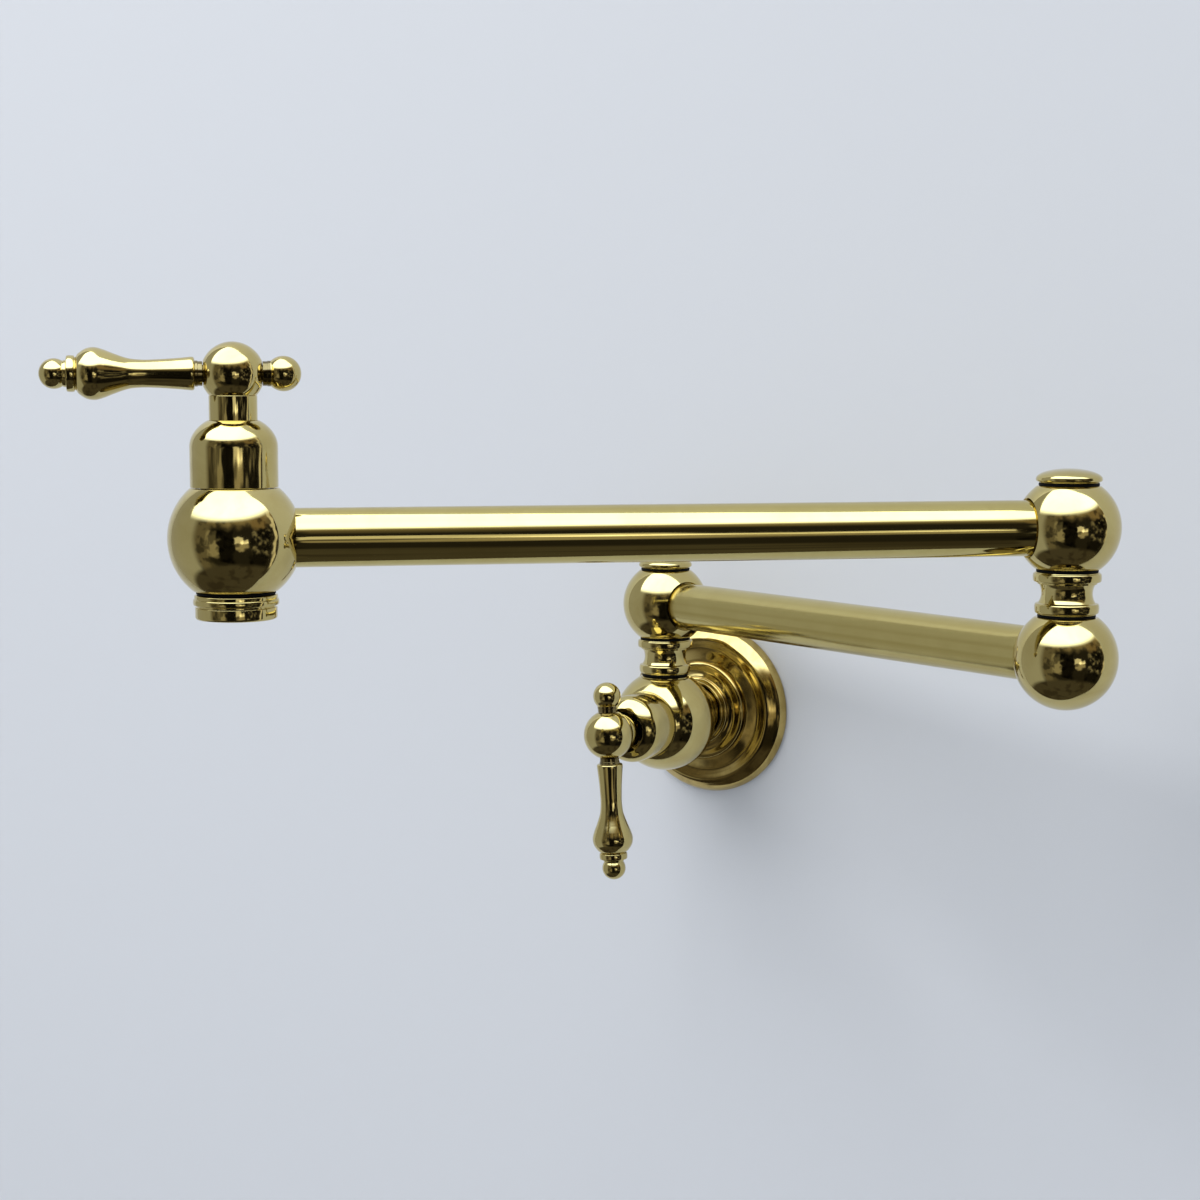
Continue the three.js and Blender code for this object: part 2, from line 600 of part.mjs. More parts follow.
function portedDisc(foot, portAngle) {
  const ports = [0, Math.PI].map((turn) =>
    rod(DISC_PORT_RADIUS, foot - CUT_PAST, foot + DISC_HEIGHT + CUT_PAST, SMALL_SIDES)
      .translate(DISC_PORT_AT, 0, 0)
      .rotateZ(turn + portAngle),
  );
  return cut(rod(DISC_RADIUS, foot, foot + DISC_HEIGHT, CORE_SIDES), ...ports);
}

const fixedDisc = () => portedDisc(FIXED_DISC_FOOT, 0);

function movingDisc() {
  const slotDepth = TONGUE_DEPTH + FACE;
  const slot = new THREE.BoxGeometry(TONGUE_LENGTH + 2 * FIT, TONGUE_WIDTH + 2 * FIT, 2 * slotDepth);
  slot.translate(0, 0, MOVING_DISC_FOOT + DISC_HEIGHT);
  return cut(portedDisc(MOVING_DISC_FOOT, QUARTER_TURN), slot);
}

function cartridgeBody() {
  const shell = turned(
    [
      [CARTRIDGE_CAVITY, FIXED_DISC_FOOT],
      [CARTRIDGE_RADIUS, FIXED_DISC_FOOT],
      [CARTRIDGE_RADIUS, CARTRIDGE_SEAL_AT - SEAL_GROOVE_HALF],
      [CARTRIDGE_GROOVE_RADIUS, CARTRIDGE_SEAL_AT - SEAL_GROOVE_HALF],
      [CARTRIDGE_GROOVE_RADIUS, CARTRIDGE_SEAL_AT + SEAL_GROOVE_HALF],
      [CARTRIDGE_RADIUS, CARTRIDGE_SEAL_AT + SEAL_GROOVE_HALF],
      [CARTRIDGE_RADIUS, CARTRIDGE_HEX_FOOT + CARTRIDGE_SHOULDER],
      [CARTRIDGE_NECK_RADIUS, CARTRIDGE_HEX_FOOT + CARTRIDGE_SHOULDER],
      [CARTRIDGE_NECK_RADIUS, CARTRIDGE_TOP],
      [SPINDLE_HOLE, CARTRIDGE_TOP],
      [SPINDLE_HOLE, CARTRIDGE_ROOF],
      [CARTRIDGE_CAVITY, CARTRIDGE_ROOF],
    ],
    CORE_SIDES,
  );
  const hexFoot = CARTRIDGE_HEX_FOOT;
  const hexTop = hexFoot + CARTRIDGE_HEX_HEIGHT;
  const hex = tube(SPINDLE_HOLE + CARTRIDGE_SHOULDER, CARTRIDGE_HEX_RADIUS, hexFoot, hexTop, HEX_SIDES);
  const windowHeight = CARTRIDGE_ROOF - SPINDLE_FOOT - 2 * WINDOW_RIM;
  const windowAt = SPINDLE_FOOT + WINDOW_RIM + windowHeight / 2;
  const across = 2 * (CARTRIDGE_RADIUS + CUT_PAST);
  const windows = [
    new THREE.BoxGeometry(across, CARTRIDGE_WINDOW, windowHeight).translate(0, 0, windowAt),
    new THREE.BoxGeometry(CARTRIDGE_WINDOW, across, windowHeight).translate(0, 0, windowAt),
  ];
  return cut(join(shell, hex), ...windows);
}

function spindle(tip) {
  const tipFoot = CARTRIDGE_TOP + CLIP_THICKNESS + CLIP_TO_TIP;
  const clipFoot = CARTRIDGE_TOP;
  const clipGroove = SPINDLE_TIP_RADIUS - CLIP_GROOVE;
  const shaft = turned(
    [
      [0, SPINDLE_FOOT],
      [SPINDLE_FOOT_RADIUS, SPINDLE_FOOT],
      [SPINDLE_FOOT_RADIUS, SPINDLE_FOOT + SPINDLE_FOOT_HEIGHT],
      [SPINDLE_RADIUS, SPINDLE_FOOT + SPINDLE_FOOT_HEIGHT],
      [SPINDLE_RADIUS, SPINDLE_SEAL_AT - SEAL_GROOVE_HALF],
      [SPINDLE_GROOVE_RADIUS, SPINDLE_SEAL_AT - SEAL_GROOVE_HALF],
      [SPINDLE_GROOVE_RADIUS, SPINDLE_SEAL_AT + SEAL_GROOVE_HALF],
      [SPINDLE_RADIUS, SPINDLE_SEAL_AT + SEAL_GROOVE_HALF],
      [SPINDLE_RADIUS, clipFoot],
      [clipGroove, clipFoot],
      [clipGroove, clipFoot + CLIP_THICKNESS + 2 * FACE],
      [SPINDLE_RADIUS, clipFoot + CLIP_THICKNESS + 2 * FACE],
      [SPINDLE_RADIUS, tipFoot],
      [SPINDLE_TIP_RADIUS, tipFoot],
      [SPINDLE_TIP_RADIUS, tip],
      [0, tip],
    ],
    SMALL_SIDES,
  );
  const tongue = new THREE.BoxGeometry(TONGUE_LENGTH, TONGUE_WIDTH, 2 * TONGUE_DEPTH);
  return join(shaft, tongue.translate(0, 0, SPINDLE_FOOT));
}

function spindleClip() {
  const foot = CARTRIDGE_TOP + FACE;
  const inner = SPINDLE_TIP_RADIUS - CLIP_GROOVE + FIT;
  const ring = tube(inner, CLIP_RADIUS, foot, foot + CLIP_THICKNESS, SMALL_SIDES);
  const mouth = new THREE.BoxGeometry(CLIP_RADIUS + CUT_PAST, CLIP_MOUTH, 3 * CLIP_THICKNESS);
  return cut(ring, mouth.translate((CLIP_RADIUS + CUT_PAST) / 2, 0, foot));
}

// ---- bonnets, hubs and levers --------------------------------------------------------------
function bonnet(mouthRadius, mouth) {
  const dome = (radius, rise) => {
    const points = [];
    const end = Math.acos(mouthRadius / radius);
    const steps = 4;
    for (let i = 0; i <= steps; i += 1) {
      const angle = (end * i) / steps;
      points.push([radius * Math.cos(angle), BONNET_SHOULDER + rise * Math.sin(angle)]);
    }
    return points;
  };
  const rise = (mouth - BONNET_SHOULDER) / Math.sin(Math.acos(mouthRadius / BONNET_RADIUS));
  const inner = BONNET_RADIUS - BONNET_WALL;
  const foot = BONNET_SEAT + FACE;
  return turned(
    [
      [inner, foot],
      [BONNET_RADIUS, foot],
      ...dome(BONNET_RADIUS, rise),
      ...dome(inner, rise - BONNET_WALL).reverse(),
    ],
    BODY_SIDES,
  );
}

const HUB_SOCKET = SPINDLE_TIP_RADIUS + FIT;

// The hub's centre is the origin, with the spindle along Z and the lever along +X.
function hub(neckFoot) {
  const neckTop = -Math.sqrt(HUB_RADIUS ** 2 - HUB_NECK_RADIUS ** 2);
  const ball = turned(
    [
      [HUB_SOCKET, neckFoot],
      [HUB_NECK_RADIUS, neckFoot],
      ...ballArc(HUB_RADIUS, neckTop, HUB_RADIUS, 7),
      [0, HUB_SOCKET_ABOVE],
      [HUB_SOCKET, HUB_SOCKET_ABOVE],
    ],
    BODY_SIDES,
  );
  const tools = [];
  for (const side of [-1, 1]) {
    const flat = new THREE.BoxGeometry(HUB_RADIUS, 2 * HUB_RADIUS, 2 * HUB_RADIUS);
    tools.push(flat.translate(side * (HUB_FLAT + HUB_RADIUS / 2), 0, 0));
    const holeFoot = HUB_FLAT - STUD_LENGTH - FIT;
    const hole = alongX(rod(STUD_RADIUS + FIT, holeFoot, HUB_RADIUS + CUT_PAST, SMALL_SIDES));
    tools.push(side > 0 ? hole : hole.rotateZ(Math.PI));
  }
  const screwReach = [-HUB_NECK_RADIUS - CUT_PAST, CUT_PAST - HUB_SOCKET];
  const screwHole = alongY(rod(SET_SCREW_RADIUS + FIT, ...screwReach, SMALL_SIDES));
  tools.push(screwHole.translate(0, 0, -SET_SCREW_BELOW));
  return cut(ball, ...tools);
}

const setScrew = () =>
  alongY(rod(SET_SCREW_RADIUS, SET_SCREW_SUNK - HUB_NECK_RADIUS, -SPINDLE_TIP_RADIUS - FIT, SMALL_SIDES))
    .translate(0, 0, -SET_SCREW_BELOW);

const STUD_OUTLINE = [
  [0, HUB_FLAT - STUD_LENGTH],
  [STUD_RADIUS, HUB_FLAT - STUD_LENGTH],
  [STUD_RADIUS, HUB_FLAT + FACE],
  [LEVER_NECK_RADIUS, HUB_FLAT + FACE],
];

function leverGrip() {
  const edge = 0.6;
  const grip = curve(
    [
      [LEVER_GRIP_RADIUS, LEVER_GRIP_START + edge],
      [LEVER_WAIST_RADIUS, LEVER_WAIST_AT],
      [(LEVER_WAIST_RADIUS + LEVER_BULB_RADIUS) / 2, (LEVER_WAIST_AT + 2 * LEVER_BULB_AT) / 3],
      [LEVER_BULB_RADIUS, LEVER_BULB_AT],
      [LEVER_RING_RADIUS - LEVER_RING_GAP, LEVER_BULB_END],
    ],
    12,
  );
  const ringFoot = LEVER_BULB_END + LEVER_RING_GAP;
  const tipNeck = Math.sqrt(LEVER_BALL_RADIUS ** 2 - LEVER_TIP_NECK_RADIUS ** 2);
  const ballFrom = -THREE.MathUtils.radToDeg(Math.asin(tipNeck / LEVER_BALL_RADIUS));
  return alongX(
    turned(
      [
        ...STUD_OUTLINE,
        [LEVER_NECK_RADIUS, LEVER_GRIP_START],
        [LEVER_GRIP_RADIUS - edge, LEVER_GRIP_START],
        ...grip,
        [LEVER_RING_RADIUS, ringFoot],
        [LEVER_RING_RADIUS, LEVER_RING_END],
        [LEVER_TIP_NECK_RADIUS, LEVER_RING_END],
        ...arc(0, LEVER_BALL_AT, LEVER_BALL_RADIUS, ballFrom, 90, 5),
      ],
      SMALL_SIDES,
    ),
  );
}

function finial() {
  const ballFrom = -THREE.MathUtils.radToDeg(Math.acos(LEVER_NECK_RADIUS / FINIAL_BALL_RADIUS));
  const outline = [...STUD_OUTLINE, ...arc(0, FINIAL_BALL_AT, FINIAL_BALL_RADIUS, ballFrom, 90, 6)];
  return alongX(turned(outline, SMALL_SIDES)).rotateZ(Math.PI);
}

// One valve top along +Z from the ball's centre, with its lever turned to a heading in degrees.
function valveTop(name, mouthRadius, mouth, hubCentre, heading) {
  const top = new THREE.Group();
  top.add(
    piece(`${name}_seat_seal`, seatSeal(), RUBBER),
    piece(`${name}_fixed_disc`, fixedDisc(), CERAMIC),
    piece(`${name}_cartridge_body`, cartridgeBody(), RAW_BRASS),
    piece(`${name}_cartridge_o_ring`, sealRing(CARTRIDGE_GROOVE_RADIUS, CORE_BORE, CARTRIDGE_SEAL_AT), RUBBER),
    piece(`${name}_bonnet`, bonnet(mouthRadius, mouth), BRASS),
  );
  const handle = new THREE.Group();
  handle.rotation.z = radians(heading);
  handle.add(
    piece(`${name}_moving_disc`, movingDisc(), CERAMIC),
    piece(`${name}_spindle`, spindle(hubCentre + HUB_SOCKET_ABOVE - 2 * FACE), RAW_BRASS),
    piece(`${name}_spindle_o_ring`, sealRing(SPINDLE_GROOVE_RADIUS, SPINDLE_HOLE, SPINDLE_SEAL_AT), RUBBER),
    piece(`${name}_spindle_clip`, spindleClip(), STEEL),
  );
  const head = new THREE.Group();
  head.position.z = hubCentre;
  head.add(
    piece(`${name}_hub`, hub(mouth - HUB_NECK_SUNK - hubCentre), BRASS),
    piece(`${name}_hub_set_screw`, setScrew(), STEEL),
    piece(`${name}_lever`, leverGrip(), BRASS),
    piece(`${name}_finial`, finial(), BRASS),
  );
  handle.add(head);
  top.add(handle);
  return top;
}

// ---- aerator, under the outlet ball's centre -----------------------------------------------
const AERATOR_WASHER_TOP = -OUTLET_SEAT - FACE;
const AERATOR_TOP = AERATOR_WASHER_TOP - AERATOR_WASHER_THICKNESS - FACE;
const AERATOR_BEAD_TOP = AERATOR_TOP - AERATOR_BAND_HEIGHT;
const AERATOR_GROOVE_TOP = AERATOR_BEAD_TOP - AERATOR_BEAD_HEIGHT;
const AERATOR_SHELL_TOP = AERATOR_GROOVE_TOP - AERATOR_GROOVE_HEIGHT;
const AERATOR_MOUTH = AERATOR_SHELL_TOP - AERATOR_SHELL_HEIGHT;
const INSERT_TOP = AERATOR_BEAD_TOP - FIT;
const SCREEN_TOP = INSERT_TOP - INSERT_HEIGHT - FACE;

const aeratorWasher = () => {
  const inner = AERATOR_THREAD_RADIUS + FIT;
  const foot = AERATOR_WASHER_TOP - AERATOR_WASHER_THICKNESS;
  return tube(inner, AERATOR_WASHER_RADIUS, foot, AERATOR_WASHER_TOP, CORE_SIDES);
};

function aeratorHousing() {
  const corner = AERATOR_CORNER;
  return turned(
    [
      [AERATOR_THREAD_BORE, AERATOR_TOP + AERATOR_THREAD_HEIGHT],
      [AERATOR_THREAD_RADIUS, AERATOR_TOP + AERATOR_THREAD_HEIGHT],
      [AERATOR_THREAD_RADIUS, AERATOR_TOP],
      [AERATOR_BAND_RADIUS, AERATOR_TOP],
      [AERATOR_BAND_RADIUS, AERATOR_BEAD_TOP],
      [AERATOR_BEAD_RADIUS, AERATOR_BEAD_TOP - AERATOR_BEAD_HEIGHT * 0.25],
      [AERATOR_BEAD_RADIUS, AERATOR_BEAD_TOP - AERATOR_BEAD_HEIGHT * 0.6],
      [AERATOR_GROOVE_RADIUS, AERATOR_GROOVE_TOP],
      [AERATOR_GROOVE_RADIUS, AERATOR_SHELL_TOP],
      [AERATOR_SHELL_RADIUS, AERATOR_SHELL_TOP],
      ...arc(AERATOR_SHELL_RADIUS - corner, AERATOR_MOUTH + corner, corner, 0, -90, 2),
      [AERATOR_BORE, AERATOR_MOUTH],
      [AERATOR_BORE, AERATOR_BEAD_TOP],
      [AERATOR_THREAD_BORE, AERATOR_BEAD_TOP],
    ],
    BODY_SIDES,
  );
}

// A disc with a hole in its middle and rings of holes round it.
function piercedDisc(radius, top, height, holeRadius, rings) {
  const holes = [rod(holeRadius, top - height - CUT_PAST, top + CUT_PAST, HOLE_SIDES)];
  rings.forEach(([count, distance]) => {
    for (let i = 0; i < count; i += 1) {
      const hole = rod(holeRadius, top - height - CUT_PAST, top + CUT_PAST, HOLE_SIDES);
      holes.push(hole.translate(distance, 0, 0).rotateZ((2 * Math.PI * i) / count));
    }
  });
  return cut(rod(radius, top - height, top, CORE_SIDES), ...holes);
}

const aeratorInsert = () => {
  const radius = AERATOR_BORE - FIT;
  return piercedDisc(radius, INSERT_TOP, INSERT_HEIGHT, INSERT_HOLE_RADIUS, [[6, radius * 0.36], [10, radius * 0.7]]);
};

const aeratorScreen = () => {
  const radius = AERATOR_BORE - FIT;
  const rings = [[6, radius * 0.38], [12, radius * 0.74]];
  return piercedDisc(radius, SCREEN_TOP, SCREEN_HEIGHT, SCREEN_HOLE_RADIUS, rings);
};

// ---- the whole tap -------------------------------------------------------------------------
function armTube(from, to) {
  return alongX(tube(TUBE_RADIUS - TUBE_WALL, TUBE_RADIUS, from, to, BODY_SIDES));
}

const BALL_SOCKET_AT = CHAMBER_RADIUS + SOCKET_LEDGE + FIT;

function secondArm() {
  const arm = new THREE.Group();
  arm.position.z = JOINT_BALL_TOP + UPPER_BALL_AT;
  arm.rotation.z = radians(SECOND_ARM_YAW - FIRST_ARM_YAW);
  arm.add(
    piece("elbow_upper_ball", swivelBall(), BRASS),
    piece("second_arm_tube", armTube(BALL_SOCKET_AT, SECOND_ARM_LENGTH - VALVE_SOCKET_AT - FIT), BRUSHED_BRASS),
  );
  const outlet = new THREE.Group();
  outlet.position.x = SECOND_ARM_LENGTH;
  outlet.add(
    piece("outlet_body", outletBody(), BRASS),
    piece("aerator_washer", aeratorWasher(), RUBBER),
    piece("aerator_housing", aeratorHousing(), BRASS),
    piece("aerator_insert", aeratorInsert(), PLASTIC),
    piece("aerator_screen", aeratorScreen(), STEEL),
    valveTop("outlet", OUTLET_BONNET_MOUTH_RADIUS, OUTLET_BONNET_MOUTH, OUTLET_HUB_CENTRE, 0),
  );
  arm.add(outlet);
  return arm;
}

function firstArm() {
  const arm = new THREE.Group();
  arm.position.set(0, -VALVE_STANDOFF, VALVE_BOSS_TOP + UPPER_BALL_AT);
  arm.rotation.z = radians(FIRST_ARM_YAW);
  arm.add(
    piece("wall_swivel_ball", swivelBall(), BRASS),
    piece("first_arm_tube", armTube(BALL_SOCKET_AT, FIRST_ARM_LENGTH - BALL_SOCKET_AT), BRUSHED_BRASS),
  );
  const elbow = new THREE.Group();
  elbow.position.x = FIRST_ARM_LENGTH;
  const joint = swivelJoint("elbow");
  joint.position.z = JOINT_BALL_TOP;
  elbow.add(piece("elbow_lower_ball", elbowLowerBall(), BRASS), joint, secondArm());
  arm.add(elbow);
  return arm;
}

function wallMount() {
  const mount = new THREE.Group();
  const fitting = new THREE.Group();
  fitting.rotation.x = QUARTER_TURN;
  fitting.add(
    piece("wall_flange", wallFlange(), FLANGE_BRASS),
    piece("flange_collar", flangeCollar(), FLANGE_BRASS),
    piece("inlet_nipple", inletNipple(), RAW_BRASS),
    piece("nipple_seal", nippleSeal(), RUBBER),
  );
  const valve = new THREE.Group();
  valve.position.z = VALVE_STANDOFF;
  valve.add(
    piece("valve_body", valveBody(), BRASS),
    valveTop("wall", WALL_BONNET_MOUTH_RADIUS, WALL_BONNET_MOUTH, WALL_HUB_CENTRE, WALL_LEVER_TILT - 90),
  );
  fitting.add(valve);
  const joint = swivelJoint("wall_swivel");
  joint.position.set(0, -VALVE_STANDOFF, VALVE_BOSS_TOP);
  mount.add(fitting, joint);
  return mount;
}

const potFiller = new THREE.Group();
potFiller.add(wallMount(), firstArm());

export default potFiller;
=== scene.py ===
"""The looks of a wall mounted pot filler in polished brass.

The tap has two arms that fold at ball joints, a lever valve at the wall and another over its
outlet. Each sub-assembly below is a class that holds its sizes in millimetres, measured from
its own joint axis, and builds its turned pieces there. The joints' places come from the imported
frame, in metres, with X right along the wall, Y into the wall and Z up.
"""

from __future__ import annotations

import json
import logging
import math
from dataclasses import dataclass, field, replace
from enum import Enum, IntEnum
from typing import Iterable, Sequence

import bmesh
import bpy
from mathutils import Matrix, Vector

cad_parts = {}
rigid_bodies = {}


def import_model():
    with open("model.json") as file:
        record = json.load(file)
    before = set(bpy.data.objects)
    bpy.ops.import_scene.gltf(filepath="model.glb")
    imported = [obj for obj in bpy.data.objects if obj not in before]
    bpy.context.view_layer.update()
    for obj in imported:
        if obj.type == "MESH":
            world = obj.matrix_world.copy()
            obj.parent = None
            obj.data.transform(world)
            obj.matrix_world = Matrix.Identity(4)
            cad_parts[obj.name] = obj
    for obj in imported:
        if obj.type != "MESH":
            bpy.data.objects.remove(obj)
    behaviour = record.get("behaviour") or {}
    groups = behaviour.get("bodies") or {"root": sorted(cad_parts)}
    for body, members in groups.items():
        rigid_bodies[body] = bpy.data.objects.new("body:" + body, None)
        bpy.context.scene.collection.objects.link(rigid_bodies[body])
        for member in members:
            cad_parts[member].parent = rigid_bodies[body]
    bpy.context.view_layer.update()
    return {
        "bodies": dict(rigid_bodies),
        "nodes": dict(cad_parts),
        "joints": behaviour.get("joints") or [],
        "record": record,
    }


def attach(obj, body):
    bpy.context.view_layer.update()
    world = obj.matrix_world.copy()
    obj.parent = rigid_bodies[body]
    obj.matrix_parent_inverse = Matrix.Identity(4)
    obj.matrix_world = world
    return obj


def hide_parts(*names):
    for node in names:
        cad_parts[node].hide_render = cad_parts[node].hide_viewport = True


LOG = logging.getLogger("pot_filler")
MM = 0.001
Point = tuple[float, float]
Point3 = tuple[float, float, float]
Colour = tuple[float, float, float]
Edge = tuple[float, float]
RIGHT = Vector((1, 0, 0))
OUT = Vector((0, -1, 0))
UP = Vector((0, 0, 1))


class Body(Enum):
    """The rigid bodies of the tap."""

    WALL = "wall_mount"
    WALL_HANDLE = "wall_handle"
    FIRST_ARM = "first_arm"
    SECOND_ARM = "second_arm"
    OUTLET_HANDLE = "outlet_handle"


class Finish(Enum):
    """The finishes of the tap, by their slot in the record."""

    POLISHED = "polished_brass"
    FLANGE = "flange_brass"
    BRUSHED = "brushed_brass"
    RAW = "raw_brass"
    RUBBER = "seal_rubber"
    CERAMIC = "ceramic"
    STEEL = "stainless_steel"
    PLASTIC = "white_plastic"


class Sides(IntEnum):
    """How many sides a turned piece gets, by its size."""

    FLANGE = 160
    COLLAR = 128
    VALVE = 112
    JOINT = 96
    KNOB = 72
    RIB_RING = 60
    SPOT_FACE = 48
    SCREW = 40
    SCREW_HOLE = 32
    HEXAGON = 6


# ---- turned shapes ---------------------------------------------------------------------------


def to_mesh(bm: bmesh.types.BMesh, name: str) -> bpy.types.Mesh:
    """Gives a solid's mesh and frees the solid.

    Args:
        bm: The solid.
        name: The mesh's name.

    Returns:
        The mesh.
    """
    mesh = bpy.data.meshes.new(name)
    bm.to_mesh(mesh)
    bm.free()
    return mesh


def in_scene(name: str, data: bpy.types.ID) -> bpy.types.Object:
    """Puts an object with these data into the scene, at the origin.

    Args:
        name: The object's name.
        data: Its mesh, lamp or camera data.

    Returns:
        The object.
    """
    obj = bpy.data.objects.new(name, data)
    bpy.context.scene.collection.objects.link(obj)
    return obj


class Outline:
    """A closed outline of (radius, height) points in millimetres, spun about its height axis."""

    CORNER = math.radians(25)

    def __init__(self) -> None:
        """Starts an empty outline."""
        self.points: list[Point] = []

    def to(self, *points: Point) -> "Outline":
        """Adds straight runs to each point in turn.

        Args:
            points: Radius and height of each corner.

        Returns:
            The outline itself, so that calls chain.
        """
        self.points.extend(points)
        return self

    def arc(self, centre: Point, size: Point, start: float, end: float, steps: int = 12) -> "Outline":
        """Adds an elliptical arc.

        Args:
            centre: Radius and height of the arc's centre.
            size: The arc's half width along the radius and along the height.
            start: First angle in degrees, 0 outwards and 90 up.
            end: Last angle in degrees.
            steps: Number of straight pieces.

        Returns:
            The outline itself.
        """
        for index in range(steps + 1):
            angle = math.radians(start + (end - start) * index / steps)
            radius = centre[0] + size[0] * math.cos(angle)
            self.points.append((max(radius, 0.0), centre[1] + size[1] * math.sin(angle)))
        return self

    def ball(self, size: float, low: float, high: float, steps: int = 40) -> "Outline":
        """Adds the face of a ball about the origin between two heights."""
        start, end = (math.degrees(math.asin(height / size)) for height in (low, high))
        return self.arc((0, 0), (size, size), start, end, steps)

    def bead(self, foot: float, crown: float, low: float, height: float, steps: int = 12) -> "Outline":
        """Adds a round bead.

        Args:
            foot: Radius where the bead starts and ends.
            crown: Radius of its widest ring.
            low: Height where it starts.
            height: How tall it is, negative for one that is drawn downwards.
            steps: Number of straight pieces.

        Returns:
            The outline itself.
        """
        for index in range(steps + 1):
            turn = math.pi * index / steps
            rise = low + height * (1 - math.cos(turn)) / 2
            swell = math.sqrt(math.sin(turn)) if 0 < index < steps else 0.0
            self.points.append((foot + (crown - foot) * swell, rise))
        return self

    def flow(self, points: Sequence[Point], steps: int = 8) -> "Outline":
        """Adds a smooth curve through the points.

        Args:
            points: The points that the curve passes through.
            steps: Number of straight pieces between two of them.

        Returns:
            The outline itself.
        """
        padded = [points[0], *points, points[-1]]
        for before, start, end, after in zip(padded, padded[1:], padded[2:], padded[3:]):
            for index in range(steps):
                self.points.append(_between(before, start, end, after, index / steps))
        self.points.append(points[-1])
        return self

    def softened(self, size: float, steps: int = 3) -> list[Point]:
        """Rounds every sharp corner that is off the axis.

        Args:
            size: Length taken from each side of a corner, in millimetres.
            steps: Number of straight pieces round each corner.

        Returns:
            The outline's points, ready to spin.
        """
        result: list[Point] = []
        count = len(self.points)
        for index, corner in enumerate(self.points):
            here = Vector(corner)
            back = Vector(self.points[index - 1]) - here
            ahead = Vector(self.points[(index + 1) % count]) - here
            on_axis = corner[0] < 1e-6
            if on_axis or not back.length or not ahead.length or math.pi - back.angle(ahead) < self.CORNER:
                result.append(corner)
                continue
            start = here + back.normalized() * min(size, 0.45 * back.length)
            end = here + ahead.normalized() * min(size, 0.45 * ahead.length)
            for step in range(steps + 1):
                share = step / steps
                spot = start.lerp(here, share).lerp(here.lerp(end, share), share)
                result.append((spot.x, spot.y))
        return result


def _between(before: Point, start: Point, end: Point, after: Point, share: float) -> Point:
    """Gives the point of a smooth curve between two of its points.

    Args:
        before: The point before the stretch.
        start: Where the stretch starts.
        end: Where it ends.
        after: The point after it.
        share: How far along the stretch, from 0 to 1.

    Returns:
        The point on the curve.
    """
    values = []
    for a, b, c, d in zip(before, start, end, after):
        leave, arrive = (c - a) / 2, (d - b) / 2
        cube = (2 * b - 2 * c + leave + arrive) * share**3
        square = (3 * c - 3 * b - 2 * leave - arrive) * share**2
        values.append(cube + square + leave * share + b)
    return values[0], values[1]


@dataclass(frozen=True)
class Place:
    """Where a sub-assembly stands, in metres.

    Attributes:
        origin: The point that its sizes are measured from.
        along: Direction of its own Z, which turned pieces spin about.
        across: Direction of its own X.
    """

    origin: Vector
    along: Vector
    across: Vector

    def matrix(self) -> Matrix:
        """Gives the transform from the sub-assembly's own metres to the frame's.

        Returns:
            The transform.
        """
        axis_z = self.along.normalized()
        axis_x = (self.across - self.across.dot(axis_z) * axis_z).normalized()
        turn = Matrix((axis_x, axis_z.cross(axis_x), axis_z)).transposed()
        return Matrix.Translation(self.origin) @ turn.to_4x4()

    def raised(self, height: float) -> "Place":
        """Gives the same place, moved along its own Z by millimetres."""
        return Place(self.origin + self.along.normalized() * height * MM, self.along, self.across)

    def sideways(self) -> "Place":
        """Gives a place whose own Z is this one's X."""
        return Place(self.origin, self.across, -self.along)

    def opposite(self) -> "Place":
        """Gives a place whose own Z points against this one's X."""
        return Place(self.origin, -self.across, self.along)


